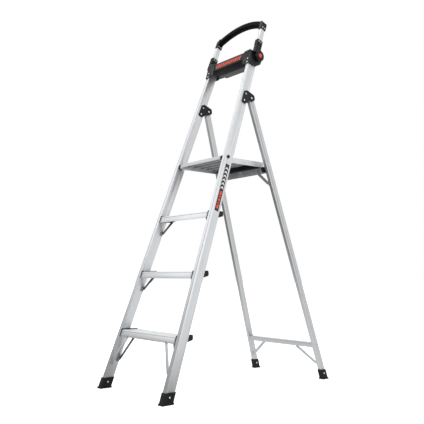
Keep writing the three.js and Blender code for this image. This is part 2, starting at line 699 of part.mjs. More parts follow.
/** Plate on the upper crossbar's front that the platform's rest strip sits against. */
function platformCatch() {
  const { thick, halfWidth, high, below } = CATCH;
  const top = highBarTop - below;
  const y = barFrontAt(top) - GAP / Math.cos(legLean);
  const back = high * Math.tan(legLean);
  const side = outline([[y, top], [y - thick, top], [y - thick + back, top - high], [y + back, top - high]]);
  return prismX(side, -halfWidth, halfWidth);
}

function rearFrame() {
  const half = LEG.depth / 2;
  pair(legFrames, 'SIDE_rear_leg', rearLeg(), 'aluminium');
  pair(legFrames, 'SIDE_rear_shoe', shoe(rightLeg, [-LEG.width, -half, 0, half]), 'rubber');
  mesh(ladder, 'lower_crossbar', crossbar(LOW_BAR_TOP, GAP), 'aluminium');
  mesh(ladder, 'upper_crossbar', crossbar(highBarTop, CORNER_BLOCK.width + GAP), 'aluminium');
  pair(legFrames, 'SIDE_corner_block', cornerBlock(), 'plastic');
  rearBraces();
  mesh(ladder, 'platform_catch', platformCatch(), 'bright');
}

// ---------------------------------------------------------------- platform

function deckPanel() {
  const half = platformHalf - PLATFORM_SIDE.thick - GAP;
  const { plate, rib, ribDrop, ribPitch, edge, sink } = DECK;
  const lipBack = PLATFORM_FRONT * Math.tan(lean);
  const front = outline([
    [platformFront, platformTop, edge.front],
    [platformFront - lipBack, platformTop - PLATFORM_FRONT],
    [platformFront - lipBack + plate, platformTop - PLATFORM_FRONT],
    [platformFront + plate, platformTop - plate],
    [platformRear - plate, platformTop - plate],
    [platformRear - plate, platformTop - PLATFORM_FRONT],
    [platformRear, platformTop - PLATFORM_FRONT],
    [platformRear, platformTop, edge.rear],
  ]);
  const pieces = [prismX(front, -half, half, 2)];
  const lastRib = platformRear - PLATFORM_REST - REST_STRIP.ahead - 2 * rib;
  for (let y = platformFront + ribPitch; y < lastRib; y += ribPitch) {
    const stem = box2(y, platformTop - ribDrop, y + rib, platformTop - plate + sink);
    pieces.push(prismX(stem, -half, half));
  }
  return join(...pieces);
}

function platformSide() {
  const { high, thick, setIn, noseUp, noseRun, noseRound, round } = PLATFORM_SIDE;
  const low = platformTop - high;
  const front = platformFront + setIn;
  const back = (high - noseUp) * Math.tan(lean);
  const side = outline([
    [front, platformTop - setIn],
    [front - back, low + noseUp, round],
    [platformFront + noseRun, low, noseRound],
    [platformRear, low, round],
    [platformRear, platformTop - setIn, round],
  ]);
  return prismX(side, platformHalf - thick, platformHalf);
}

function pivotBracket() {
  const { ahead, behind, drop, railGap, corner } = PIVOT_BRACKET;
  const { y, z } = platformPivot;
  const outer = railInnerAt(y, z + drop) - railGap;
  const block = box2(y - ahead, platformTop - drop, y + behind, platformTop - PLATFORM_SIDE.setIn, corner);
  const body = prismX(block, platformHalf + GAP, outer, 4);
  return cut(body, rod(PIVOT_BOLT.radius + PIN_GAP, 0, LONG, y, z, 16));
}

function pivotBolt() {
  const { y, z } = platformPivot;
  const { radius, head, headThick, dome } = PIVOT_BOLT;
  const inner = platformHalf + 2 * GAP;
  const outer = railInnerAt(y, z) + RAIL.width + head * Math.tan(splay) + GAP;
  return turned([
    [0, inner], [radius, inner], [radius, outer], [head, outer], [head, outer + headThick - dome],
    [head - dome, outer + headThick], [0, outer + headThick],
  ], y, z);
}

function restStrip() {
  const { depth, ahead, inset, corner } = REST_STRIP;
  const y = barFrontAt(highBarTop) - ahead;
  const half = platformHalf - inset;
  const strip = box2(y, highBarTop + GAP, y + depth, platformTop - DECK.plate - GAP, corner);
  return prismX(strip, -half, half, 2);
}

function platform() {
  mesh(ladder, 'platform_deck', deckPanel(), 'aluminium');
  pair(bothSides, 'platform_SIDE_side', platformSide(), 'aluminium');
  pair(bothSides, 'platform_SIDE_pivot_bracket', pivotBracket(), 'plastic');
  pair(bothSides, 'platform_SIDE_pivot_bolt', pivotBolt(), 'plastic');
  mesh(ladder, 'platform_rest_strip', restStrip(), 'plastic');
}

// ---------------------------------------------------------------- hand rail

function handleArm() {
  const { front, back, above, beside, flare, round } = ARM;
  const [y, z] = hubPlace();
  const face = hubFace();
  const outer = face + HUB.thick;
  const hub = turned([
    [0, face], [HUB.radius, face], [HUB.radius, outer - HUB.edge], [HUB.radius - HUB.edge, outer], [0, outer],
  ], y, z, 32);
  const socket = prismX(outline([
    [front, hubT, round.foot],
    [back + flare.wider, hubT + flare.foot],
    [back, hubT + flare.top, round.flare],
    [back, hubT + above, round.top],
    [front, hubT + above, round.top],
  ]), arm.inner, arm.outer, 3);
  const besideHub = seenFrom(rightRail, outboardOf(face));
  const aboveHub = prismZ(box2(-LONG, -LONG, LONG, LONG), hubT + beside, LONG);
  const whole = join(seenFrom(rightRail, hub), common(socket, join(besideHub, aboveHub)));
  const tubeSpace = tubeRoom(hubT + above - TUBE.inArm - GAP, LONG);
  const buttonSeat = outer + BUTTON.proud - BUTTON.long - BUTTON.travel - GAP;
  const buttonSpace = rod(BUTTON.radius + PIN_GAP, buttonSeat, LONG, y, z, 24);
  const stubSpace = rod(HUB.stub + PIN_GAP, 0, face + HUB.stubLong + GAP, y, z, 16);
  return cut(whole, tubeSpace, seenFrom(rightRail, buttonSpace), seenFrom(rightRail, stubSpace));
}

/** Room for a handle tube between two places along the rail. */
function tubeRoom(from, to) {
  const { front, back, corner } = TUBE;
  return prismZ(box2(tube.inner - GAP, front - GAP, tube.outer + GAP, back + GAP, corner), from, to, 3);
}

function lockButton() {
  const [y, z] = hubPlace();
  const { radius, long, proud, edge, edgeDrop, dome } = BUTTON;
  const outer = hubFace() + HUB.thick + proud;
  const rim = outer - dome;
  return turned([
    [0, outer - long], [radius, outer - long], [radius, rim - edgeDrop], [radius - edge, rim], [0, outer],
  ], y, z, 24);
}

function handleTube() {
  const { front, back, wall, corner, bore, inArm } = TUBE;
  const section = box2(tube.inner, front, tube.outer, back, corner);
  section.holes.push(box2(tube.inner + wall, front + wall, tube.outer - wall, back - wall, bore));
  return prismZ(section, hubT + ARM.above - inArm, hubT + HANDLE_CORNER.below + HANDLE_CORNER.socket, 3);
}

function handleCorner() {
  const { wall, below, above, chamfer, slope, socket, round, edge } = HANDLE_CORNER;
  const [x0, x1] = [tube.inner - wall, tube.outer + wall];
  const front = outline([
    [x0, hubT + below, edge],
    [x1, hubT + below, edge],
    [x1, hubT + above - chamfer, round],
    [x1 - chamfer * slope, hubT + above, round],
    [x0, hubT + above, edge],
  ]);
  const body = prismY(front, TUBE.front - wall, TUBE.back + wall, 3);
  return cut(body, tubeRoom(0, hubT + below + socket + GAP));
}

/** Arc of the grip, in the rails' leaning plane. */
class GripArc extends THREE.Curve {
  constructor(halfSpan, ends, rise) {
    super();
    this.radius = (halfSpan ** 2 + rise ** 2) / (2 * rise);
    this.centre = ends + rise - this.radius;
    this.half = Math.asin(halfSpan / this.radius) * GRIP.past;
  }

  getPoint(t, target = new THREE.Vector3()) {
    const angle = (2 * t - 1) * this.half;
    return target.set(this.radius * Math.sin(angle), 0, this.centre + this.radius * Math.cos(angle));
  }
}

function grip() {
  const end = (hubT + GRIP.endAbove) * Math.cos(splay);
  const halfSpan = FOOT_HALF_WIDTH - end * Math.tan(splay) + tube.inner - HANDLE_CORNER.wall;
  const arc = new GripArc(halfSpan, end, GRIP.rise);
  const { thick, depth, corner, stations } = GRIP;
  const section = box2(-thick / 2, -depth / 2, thick / 2, depth / 2, corner);
  const bar = new THREE.ExtrudeGeometry(section, { steps: stations, extrudePath: arc, curveSegments: 3 });
  bar.translate(0, (TUBE.front + TUBE.back) / 2, 0);
  const face = tube.inner - HANDLE_CORNER.wall - GAP;
  const upright = bar.applyMatrix4(gripFrame.matrixWorld);
  return common(upright, ...SIDES.map(({ name, sign }) => inboardOf(railFrames[name], sign, face)));
}

function handRail() {
  pair(railFrames, 'SIDE_handle_arm', handleArm(), 'plastic');
  pair(bothSides, 'SIDE_lock_button', lockButton(), 'orange');
  pair(railFrames, 'SIDE_handle_tube', handleTube(), 'aluminium');
  pair(railFrames, 'SIDE_handle_corner', handleCorner(), 'plastic');
  mesh(ladder, 'hand_grip', grip(), 'rubber');
}

frontFrame();
rearFrame();
platform();
handRail();

// Stand the part on the middle of the floor that its shoes cover.
const bounds = new THREE.Box3().setFromObject(part, true);
ladder.position.y = -(bounds.min.y + bounds.max.y) / 2;

export default part;
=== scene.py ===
"""Looks of a folding aluminium platform step ladder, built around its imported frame."""

import json
import logging
import math
from dataclasses import dataclass, field
from enum import Enum
from typing import Callable, Iterable

import bpy
from mathutils import Matrix, Vector

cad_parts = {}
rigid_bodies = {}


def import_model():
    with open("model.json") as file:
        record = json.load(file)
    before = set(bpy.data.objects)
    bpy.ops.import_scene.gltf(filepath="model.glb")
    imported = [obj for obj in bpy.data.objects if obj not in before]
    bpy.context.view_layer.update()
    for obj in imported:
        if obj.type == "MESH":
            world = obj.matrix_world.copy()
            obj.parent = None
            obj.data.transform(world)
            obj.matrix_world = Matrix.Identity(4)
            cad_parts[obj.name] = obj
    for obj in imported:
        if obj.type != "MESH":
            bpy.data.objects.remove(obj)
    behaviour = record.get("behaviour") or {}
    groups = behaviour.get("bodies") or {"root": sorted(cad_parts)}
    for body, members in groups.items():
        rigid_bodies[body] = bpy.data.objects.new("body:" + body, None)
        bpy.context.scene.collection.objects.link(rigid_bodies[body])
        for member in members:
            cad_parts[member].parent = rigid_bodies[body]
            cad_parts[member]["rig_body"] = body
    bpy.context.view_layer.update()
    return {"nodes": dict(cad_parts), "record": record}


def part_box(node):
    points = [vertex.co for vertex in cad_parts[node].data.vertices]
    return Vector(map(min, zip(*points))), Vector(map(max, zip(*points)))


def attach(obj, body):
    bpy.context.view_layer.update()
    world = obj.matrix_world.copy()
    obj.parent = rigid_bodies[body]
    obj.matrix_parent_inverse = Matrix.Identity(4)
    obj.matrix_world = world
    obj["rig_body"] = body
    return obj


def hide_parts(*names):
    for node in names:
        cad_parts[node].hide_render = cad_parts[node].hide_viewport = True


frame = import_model()

log = logging.getLogger("ladder")
MM = 0.001
NODE_SLOTS = {part["node"]: part["material_slot"] for part in frame["record"]["subparts"]}
NODE_BODIES = {name: node["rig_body"] for name, node in frame["nodes"].items()}

# ------------------------------------------------------------------ frames of reference


class Side(Enum):
    """Which side of the ladder a piece is on, seen by someone facing the steps."""

    LEFT = -1
    RIGHT = 1

    @property
    def word(self) -> str:
        """The side's name in node and piece names."""
        return self.name.lower()


@dataclass(frozen=True)
class Leaning:
    """A rail's or leg's own frame: x outwards, y from front to back, z along it, in millimetres."""

    origin: Vector
    lean: float
    splay: float

    def matrix(self, side: Side) -> Matrix:
        """Turns the frame's own places into the row frame.

        Args:
            side: Which of the two rails or legs.

        Returns:
            The matrix, with x still running to the ladder's right on both sides.
        """
        middle = Vector((0, self.origin.y, self.origin.z)) * MM
        out = Vector((side.value * self.origin.x * MM, 0, 0))
        return (
            Matrix.Translation(middle)
            @ Matrix.Rotation(math.radians(-self.lean), 4, "X")
            @ Matrix.Translation(out)
            @ Matrix.Rotation(math.radians(-side.value * self.splay), 4, "Y")
        )

    def point(self, side: Side, x: float, y: float, z: float) -> Vector:
        """The row-frame place, in metres, of a point given in the frame's own millimetres."""
        return self.matrix(side) @ (Vector((side.value * x, y, z)) * MM)

    def direction(self, side: Side, x: float, y: float, z: float) -> Vector:
        """The row-frame direction of one given in the frame's own axes."""
        return (self.matrix(side).to_3x3() @ Vector((side.value * x, y, z))).normalized()


@dataclass(frozen=True)
class Layout:
    """The ladder's governing sizes, in millimetres and degrees."""

    rail_lean: float = 20.0
    rail_splay: float = 3.1
    foot_half_width: float = 246.7
    rail_depth: float = 47.0
    rail_width: float = 25.0
    pivot_behind_rail: float = 23.0
    leg_lean: float = 17.15
    leg_splay: float = 3.08
    leg_width: float = 18.5
    leg_inset: float = 0.5  # from the rails' outer faces in to the legs'
    rail_above_pivot: float = 233.5
    hub_above: float = 19.0

    @property
    def lean_radians(self) -> float:
        """The rails' lean from upright."""
        return math.radians(self.rail_lean)

    @property
    def pivot(self) -> Vector:
        """Middle of the hinge between the frames, in millimetres."""
        low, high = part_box("right_hinge_pin")
        return Vector((0, (low.y + high.y) / 2, (low.z + high.z) / 2)) / MM

    @property
    def front_at_floor(self) -> float:
        """Y of the rails' front faces at the floor."""
        pivot = self.pivot
        behind = self.rail_depth / math.cos(self.lean_radians) + self.pivot_behind_rail
        return pivot.y - pivot.z * math.tan(self.lean_radians) - behind

    @property
    def rails(self) -> Leaning:
        """The rails' own frame, from their inner front corners at the floor."""
        foot = Vector((self.foot_half_width, self.front_at_floor, 0))
        return Leaning(foot, self.rail_lean, self.rail_splay)

    @property
    def legs(self) -> Leaning:
        """The legs' own frame, from the pivot and their outer faces."""
        along = self.along(0, self.pivot.z, self.pivot.y)
        inner = self.foot_half_width - along * math.sin(math.radians(self.rail_splay))
        outer = inner + self.rail_width - self.leg_inset
        return Leaning(Vector((outer, self.pivot.y, self.pivot.z)), -self.leg_lean, self.leg_splay)

    def along(self, back: float, z: float, y: float | None = None) -> float:
        """Distance along a rail.

        Args:
            back: How far behind the rail's front face, square to it.
            z: Height above the floor.
            y: Row-frame depth, for a point that isn't on the rail.

        Returns:
            The distance from the floor along the rail, in millimetres.
        """
        lean, splay = self.lean_radians, math.radians(self.rail_splay)
        if y is None:
            return (z + back * math.sin(lean)) / math.cos(lean) / math.cos(splay)
        depth = y - self.front_at_floor
        return (depth * math.sin(lean) + z * math.cos(lean)) / math.cos(splay)

    @property
    def rail_end(self) -> float:
        """Length of a rail, along it."""
        return self.along(0, self.pivot.z + self.rail_above_pivot)

    @property
    def hub(self) -> float:
        """The hand rail's hub, along the rail."""
        return self.rail_end + self.hub_above


# ------------------------------------------------------------------ finishes


def linear(colour: str) -> tuple[float, float, float, float]:
    """Turns an sRGB hex colour into linear RGBA.

    Args:
        colour: Six hex digits, with or without a leading #.

    Returns:
        Red, green, blue and alpha, from 0 to 1.
    """
    digits = colour.lstrip("#")
    channels = [int(digits[i : i + 2], 16) / 255 for i in (0, 2, 4)]
    return (*[c / 12.92 if c <= 0.04045 else ((c + 0.055) / 1.055) ** 2.4 for c in channels], 1.0)


def tinted(colour: str, share: float = 1.0, lift: float = 0.0) -> tuple[float, ...]:
    """A hex colour as linear RGBA, scaled by a share and lifted."""
    return (*[min(1.0, channel * share + lift) for channel in linear(colour)[:3]], 1.0)


def add_node(
    tree: bpy.types.NodeTree, kind: str, settings: dict | None = None, links: dict | None = None
) -> bpy.types.Node:
    """Adds a shader node.

    Args:
        tree: The material's or world's node tree.
        kind: The node's type name, without its ShaderNode prefix.
        settings: Values of its inputs or own properties, by name or number; "stops" sets a ramp.
        links: Output sockets to join to its inputs, by input name or number.

    Returns:
        The new node.
    """
    node = tree.nodes.new(f"ShaderNode{kind}")
    for key, value in (settings or {}).items():
        if key == "stops":
            ramp = node.color_ramp.elements
            for index, (position, colour) in enumerate(value):
                element = ramp[index] if index < 2 else ramp.new(position)
                element.position, element.color = position, colour
        elif isinstance(key, int) or key in node.inputs:
            node.inputs[key].default_value = value
        else:
            setattr(node, key, value)
    for key, socket in (links or {}).items():
        tree.links.new(socket, node.inputs[key])
    return node


class Grain(Enum):
    """Which way an extrusion's die lines run, as the turn that brings that way onto Z."""

    RIGHT_RAIL = (20.0, 3.1, 0.0)
    LEFT_RAIL = (20.0, -3.1, 0.0)
    RIGHT_LEG = (-17.15, 3.08, 0.0)
    LEFT_LEG = (-17.15, -3.08, 0.0)
    ACROSS = (0.0, -90.0, 0.0)
    UPRIGHT = (0.0, 0.0, 0.0)

    @property
    def turn(self) -> tuple[float, ...]:
        """The turn in radians."""
        return tuple(math.radians(angle) for angle in self.value)


class Finish:
    """A material that is made when it is first asked for and shared after that."""

    made: dict = {}

    def material(self) -> bpy.types.Material:
        """The finish as a Blender material."""
        if self not in Finish.made:
            made = bpy.data.materials.new(self.label)
            made.use_nodes = True
            made.node_tree.nodes.clear()
            shader = self.shade(made.node_tree)
            add_node(made.node_tree, "OutputMaterial", links={"Surface": shader.outputs["BSDF"]})
            Finish.made[self] = made
        return Finish.made[self]

    def coat(
        self,
        tree: bpy.types.NodeTree,
        pattern: bpy.types.NodeSocket,
        tones: list[tuple],
        gloss: tuple[float, ...],
        settings: dict,
        relief: tuple | None = None,
    ) -> bpy.types.Node:
        """Lets a pattern drive a shader's tone and gloss, and a height its relief.

        Args:
            tree: The material's node tree.
            pattern: Socket of the pattern.
            tones: The ramp's stops, each a place on the pattern and linear RGBA.
            gloss: Two places on the pattern, and the roughness at each of them.
            settings: The shader's other values.
            relief: Height socket, strength and depth in millimetres, where there is relief.

        Returns:
            The shader.
        """
        tone = add_node(tree, "ValToRGB", {"stops": tones}, {"Fac": pattern}).outputs[0]
        span = dict(zip(("From Min", "From Max", "To Min", "To Max"), gloss))
        rough = add_node(tree, "MapRange", span, {"Value": pattern}).outputs[0]
        links = {"Base Color": tone, "Roughness": rough}
        if relief:
            height, strength, depth = relief
            bump = {"Strength": strength, "Distance": depth * MM}
            links["Normal"] = add_node(tree, "Bump", bump, {"Height": height}).outputs[0]
        return add_node(tree, "BsdfPrincipled", settings, links)


RAIL_GREY = "#CDCFD1"
# Rear legs: the rails' aluminium in a darker grey, which is painted shade.
LEG_PAINTED_SHADE_GREY = "#BBBDBF"
BAR_GREY = "#B9BBBD"
DECK_GREY = "#BDBFC1"
RIB_GREY = "#D2D4D6"
# Braces under the steps: a much darker grey, which is painted shade.
BRACE_PAINTED_SHADE_GREY = "#85878A"


@dataclass(frozen=True)
class Extrusion(Finish):
    """Extruded 6063 aluminium, satin etched: an even pale grey with fine die lines along it."""

    grain: Grain = Grain.UPRIGHT
    colour: str = RAIL_GREY
    dull: float = 0.4
    line_width: float = 1.3  # mm; real die lines are a tenth of this and wouldn't show
    line_length: float = 400.0  # mm
    mark_size: float = 70.0  # mm
    marks: float = 0.45  # share of the handling marks in the whole

    @property
    def label(self) -> str:
        """Name of the material."""
        return f"extruded_aluminium_{self.grain.name.lower()}_{self.colour.lstrip('#').lower()}"

    def shade(self, tree: bpy.types.NodeTree) -> bpy.types.Node:
        """Die lines in tone, gloss and relief, over slow handling marks."""
        place = add_node(tree, "TexCoord").outputs["Object"]
        turn = {"Rotation": self.grain.turn}
        turned = add_node(tree, "Mapping", turn, {"Vector": place}).outputs[0]
        squeeze = {"Scale": (1.0, 1.0, self.line_width / self.line_length)}
        drawn = add_node(tree, "Mapping", squeeze, {"Vector": turned}).outputs[0]
        fine = {"Scale": 1 / (self.line_width * MM), "Detail": 3.0, "Roughness": 0.6}
        lines = add_node(tree, "TexNoise", fine, {"Vector": drawn}).outputs["Fac"]
        slow = {"Scale": 1 / (self.mark_size * MM), "Detail": 4.0, "Roughness": 0.55}
        marks = add_node(tree, "TexNoise", slow, {"Vector": turned}).outputs["Fac"]
        share = {"data_type": "FLOAT", 0: self.marks}
        mixed = add_node(tree, "Mix", share, {2: lines, 3: marks}).outputs[0]
        tones = [(0.3, tinted(self.colour, 0.93)), (0.7, tinted(self.colour, 1.05))]
        gloss = (0.3, 0.7, self.dull - 0.05, self.dull + 0.06)
        return self.coat(tree, mixed, tones, gloss, {"Metallic": 0.88}, (lines, 0.25, 0.06))


@dataclass(frozen=True)
class Moulded(Finish):
    """Injection-moulded glass-filled nylon or rubber: dull, dark and finely spark-grained."""

    label: str = "moulded_black_nylon"
    colour: str = "#131415"
    dull: float = 0.5
    grit: float = 0.9  # mm; the real grain is about 0.2 and wouldn't show
    depth: float = 0.05  # mm
    scuff_size: float = 24.0  # mm

    def shade(self, tree: bpy.types.NodeTree) -> bpy.types.Node:
        """Grain in relief, with slightly scuffed high spots that are paler and smoother."""
        place = add_node(tree, "TexCoord").outputs["Object"]
        fine = {"Scale": 1 / (self.grit * MM), "Detail": 2.0, "Roughness": 0.5}
        grain = add_node(tree, "TexNoise", fine, {"Vector": place}).outputs["Fac"]
        slow = {"Scale": 1 / (self.scuff_size * MM), "Detail": 6.0, "Roughness": 0.65}
        scuffs = add_node(tree, "TexNoise", slow, {"Vector": place}).outputs["Fac"]
        tones = [(0.42, tinted(self.colour)), (0.72, tinted(self.colour, 1.35, 0.002))]
        gloss = (0.35, 0.7, self.dull + 0.06, self.dull - 0.08)
        settings = {"IOR": 1.5, "Specular IOR Level": 0.24}
        return self.coat(tree, scuffs, tones, gloss, settings, (grain, 0.5, self.depth))


@dataclass(frozen=True)
class Foam(Finish):
    """Black closed-cell foam with tiny pores, quite matt."""

    label: str = "black_foam_rubber"
    colour: str = "#090A0A"
    pore: float = 1.1  # mm; real pores are about 0.3 and wouldn't show
    pore_depth: float = 0.12  # mm
    wear_size: float = 30.0  # mm

    def shade(self, tree: bpy.types.NodeTree) -> bpy.types.Node:
        """Pores as small dark pits."""
        place = add_node(tree, "TexCoord").outputs["Object"]
        fine = {"Scale": 1 / (self.pore * MM), "Randomness": 1.0}
        pores = add_node(tree, "TexVoronoi", fine, {"Vector": place}).outputs["Distance"]
        slow = {"Scale": 1 / (self.wear_size * MM), "Detail": 4.0}
        wear = add_node(tree, "TexNoise", slow, {"Vector": place}).outputs["Fac"]
        tones = [(0.35, tinted(self.colour)), (0.75, tinted(self.colour, 1.7, 0.002))]
        settings = {"IOR": 1.45, "Specular IOR Level": 0.16}
        relief = (pores, 0.6, self.pore_depth)
        return self.coat(tree, wear, tones, (0.0, 1.0, 0.78, 0.92), settings, relief)


@dataclass(frozen=True)
class Plated(Finish):
    """Zinc-plated steel: brighter than the extrusions, with a faint spangle."""

    label: str = "zinc_plated_steel"
    colour: str = "#DDDEDF"
    dull: float = 0.3
    spangle_size: float = 2.2  # mm

    def shade(self, tree: bpy.types.NodeTree) -> bpy.types.Node:
        """Small spangles that differ in tone and gloss."""
        place = add_node(tree, "TexCoord").outputs["Object"]
        size = {"Scale": 1 / (self.spangle_size * MM)}
        spangle = add_node(tree, "TexVoronoi", size, {"Vector": place}).outputs["Color"]
        grey = add_node(tree, "RGBToBW", links={"Color": spangle}).outputs[0]
        tones = [(0.1, tinted(self.colour, 0.86)), (0.9, tinted(self.colour))]
        gloss = (0.0, 1.0, self.dull - 0.06, self.dull + 0.1)
        return self.coat(tree, grey, tones, gloss, {"Metallic": 1.0})


@dataclass(frozen=True)
class Printed(Finish):
    """Vinyl film, ink or coloured plastic: flat colour under a clear coat, with faint mottle."""

    label: str = "black_vinyl_film"
    colour: str = "#0E0F10"
    dull: float = 0.38
    mottle_size: float = 3.0  # mm

    def shade(self, tree: bpy.types.NodeTree) -> bpy.types.Node:
        """Mottle in tone, and orange peel in the coat."""
        place = add_node(tree, "TexCoord").outputs["Object"]
        size = {"Scale": 1 / (self.mottle_size * MM), "Detail": 3.0}
        mottle = add_node(tree, "TexNoise", size, {"Vector": place}).outputs["Fac"]
        tones = [(0.3, tinted(self.colour, 0.88)), (0.7, tinted(self.colour))]
        gloss = (0.0, 1.0, self.dull - 0.05, self.dull + 0.08)
        return self.coat(tree, mottle, tones, gloss, {"IOR": 1.5}, (mottle, 0.15, 0.02))


NYLON = Moulded()  # plates, brackets and caps: near black and dull
# Castings and tray: a shade paler and smoother.
CASTING_NYLON = Moulded(label="moulded_charcoal_nylon", colour="#18191B", dull=0.44)
# Shoes: flat black with a coarser grain.
RUBBER = Moulded(label="moulded_black_rubber", colour="#101112", dull=0.7, grit=1.2, depth=0.08)
FOAM = Foam()
STEEL = Plated()
# The duller and darker of the rivets: darker partly as painted shade, and duller partly from
# weathering.
SHADE_AND_WEAR_STEEL = Plated(label="weathered_steel", colour="#9FA1A3", dull=0.4)
BUTTON_ORANGE = Printed(label="moulded_orange_nylon", colour="#E8432A", dull=0.42)
ORANGE_INK = Printed(label="orange_ink", colour="#F0502E", dull=0.45)
WHITE_INK = Printed(label="white_ink", colour="#F2F2F2", dull=0.45)
LABEL_FILM = Printed()
SLOT_FINISHES = {"bright_steel": STEEL, "orange_plastic": BUTTON_ORANGE, "black_rubber": RUBBER}


def finish_of(node: str) -> Finish:
    """The finish a frame node's piece takes, from its slot and which way its metal was extruded."""
    slot = NODE_SLOTS[node]
    if slot == "aluminium":
        side = "LEFT" if "left" in node else "RIGHT"
        if "front_rail" in node or "handle_tube" in node:
            return Extrusion(Grain[f"{side}_RAIL"])
        if "rear_leg" in node:
            # The legs' darker grey is painted shade.
            return Extrusion(Grain[f"{side}_LEG"], LEG_PAINTED_SHADE_GREY)
        if "brace" in node:
            # Braces under the steps, except the lowest step's front ones, take a darker grey as
            # painted shade.
            shaded = "front" not in node and node.startswith("step")
            return Extrusion(Grain.UPRIGHT, BRACE_PAINTED_SHADE_GREY if shaded else BAR_GREY, dull=0.48)
        return Extrusion(Grain.ACROSS, BAR_GREY if "crossbar" in node else RAIL_GREY)
    if slot in SLOT_FINISHES:
        return SLOT_FINISHES[slot]
    return CASTING_NYLON if "casting" in node or "tray" in node else NYLON


# ------------------------------------------------------------------ working on meshes

PANEL_FACING = 0.985  # cosine of the angle that a panel's faces may be off
PANEL_AREA = 60.0  # mm2; smaller faces get no panel
PANEL_WALL = 0.4  # mm


def focus(piece: bpy.types.Object) -> None:
    """Makes a piece the only selected object and the active one."""
    bpy.ops.object.select_all(action="DESELECT")
    piece.select_set(True)
    bpy.context.view_layer.objects.active = piece


def pick(piece: bpy.types.Object, kind: str, test: Callable[..., bool]) -> int:
    """Selects faces, edges or vertices of a piece, and leaves it in edit mode.

    Args:
        piece: The active object.
        kind: "FACE", "EDGE" or "VERT".
        test: Says yes or no to each polygon, edge or vertex of the mesh.

    Returns:
        How many were selected.
    """
    bpy.ops.object.mode_set(mode="EDIT")
    bpy.ops.mesh.select_mode(type=kind)
    bpy.ops.mesh.select_all(action="DESELECT")
    bpy.ops.object.mode_set(mode="OBJECT")
    mesh = piece.data
    elements = {"FACE": mesh.polygons, "EDGE": mesh.edges, "VERT": mesh.vertices}[kind]
    chosen = [element for element in elements if test(element)]
    for element in chosen:
        element.select = True
    bpy.ops.object.mode_set(mode="EDIT")
    return len(chosen)


def done_editing() -> None:
    """Goes back to object mode."""
    bpy.ops.object.mode_set(mode="OBJECT")


def edge_middle(piece: bpy.types.Object, edge: bpy.types.MeshEdge) -> Vector:
    """Middle of an edge."""
    ends = [piece.data.vertices[i].co for i in edge.vertices]
    return (ends[0] + ends[1]) / 2


def use_modifier(piece: bpy.types.Object, kind: str, **settings) -> None:
    """Adds a modifier and applies it."""
    focus(piece)
    modifier = piece.modifiers.new(kind.lower(), kind)
    for key, value in settings.items():
        setattr(modifier, key, value)
    bpy.ops.object.modifier_apply(modifier=modifier.name)


def soften(piece: bpy.types.Object, width: float, segments: int = 2, over: float = 38.0) -> None:
    """Rounds a piece's sharp edges and shades it smooth between them.

    Args:
        piece: The object to round.
        width: Width of the rounding in millimetres.
        segments: Faces across it.
        over: Smallest angle, in degrees, between faces whose edge is rounded.
    """
    sizes = {"width": width * MM, "segments": segments, "angle_limit": math.radians(over)}
    use_modifier(piece, "BEVEL", limit_method="ANGLE", **sizes)
    focus(piece)
    bpy.ops.object.shade_smooth_by_angle(angle=math.radians(32))


def dress(
    piece: bpy.types.Object, body: str, finish: Finish
) -> bpy.types.Object:
    """Gives a finished piece its material and its body.

    Args:
        piece: The finished object.
        body: The frame body it rides on.
        finish: Its finish.

    Returns:
        The same object.
    """
    piece.data.materials.clear()
    piece.data.materials.append(finish.material())
    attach(piece, body)
    log.info("%s rides on %s, %d faces", piece.name, body, len(piece.data.polygons))
    return piece


def copy_of(node: str) -> bpy.types.Object:
    """A welded copy of a frame node's mesh, with flat faces made whole, ready to work on.

    Args:
        node: The node's name.

    Returns:
        The copy, which isn't on a body yet.
    """
    source = frame["nodes"][node]
    piece = bpy.data.objects.new(f"{node}_finished", source.data.copy())
    bpy.context.scene.collection.objects.link(piece)
    focus(piece)
    bpy.ops.object.mode_set(mode="EDIT")
    bpy.ops.mesh.select_all(action="SELECT")
    bpy.ops.mesh.customdata_custom_splitnormals_clear()
    bpy.ops.mesh.remove_doubles(threshold=0.004 * MM)
    bpy.ops.mesh.dissolve_limited(angle_limit=math.radians(0.6))
    done_editing()
    return piece


def stand_for(piece: bpy.types.Object, node: str, finish: Finish | None = None) -> bpy.types.Object:
    """Hides a frame node and lets a finished piece ride on its body, with the node's finish or the
    one given.
    """
    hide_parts(node)
    return dress(piece, NODE_BODIES[node], finish or finish_of(node))


def finish_node(
    node: str,
    rounding: float,
    segments: int = 2,
    finish: Finish | None = None,
    shape: Callable[[bpy.types.Object], object] | None = None,
) -> None:
    """Lets a rounded copy of a frame node's piece stand for the node.

    Args:
        node: The node's name.
        rounding: Width of the rounding along its edges, in millimetres.
        segments: Faces across the rounding.
        finish: Its finish, where it isn't the one that finish_of gives.
        shape: Works on the piece before it is rounded.
    """
    piece = copy_of(node)
    if shape:
        shape(piece)
    soften(piece, rounding, segments)
    stand_for(piece, node, finish)


def panel(
    piece: bpy.types.Object, facing: Vector, near: Vector, reach: float, border: float, sink: float
) -> None:
    """Sinks a bordered panel into the large flat faces that look one way.

    Args:
        piece: The object to work on.
        facing: Direction of the faces.
        near: Row-frame place that the faces' centres are near.
        reach: How near, in millimetres.
        border: Width of the border left round the panel, in millimetres.
        sink: How far the panel goes in.
    """
    focus(piece)
    count = pick(
        piece,
        "FACE",
        lambda face: face.normal.dot(facing) > PANEL_FACING
        and (face.center - near).length < reach * MM
        and face.area > PANEL_AREA * MM * MM,
    )
    if count:
        bpy.ops.mesh.inset(thickness=border * MM, depth=0.0, use_even_offset=True)
        bpy.ops.mesh.inset(thickness=PANEL_WALL * MM, depth=-sink * MM, use_even_offset=True)
    done_editing()


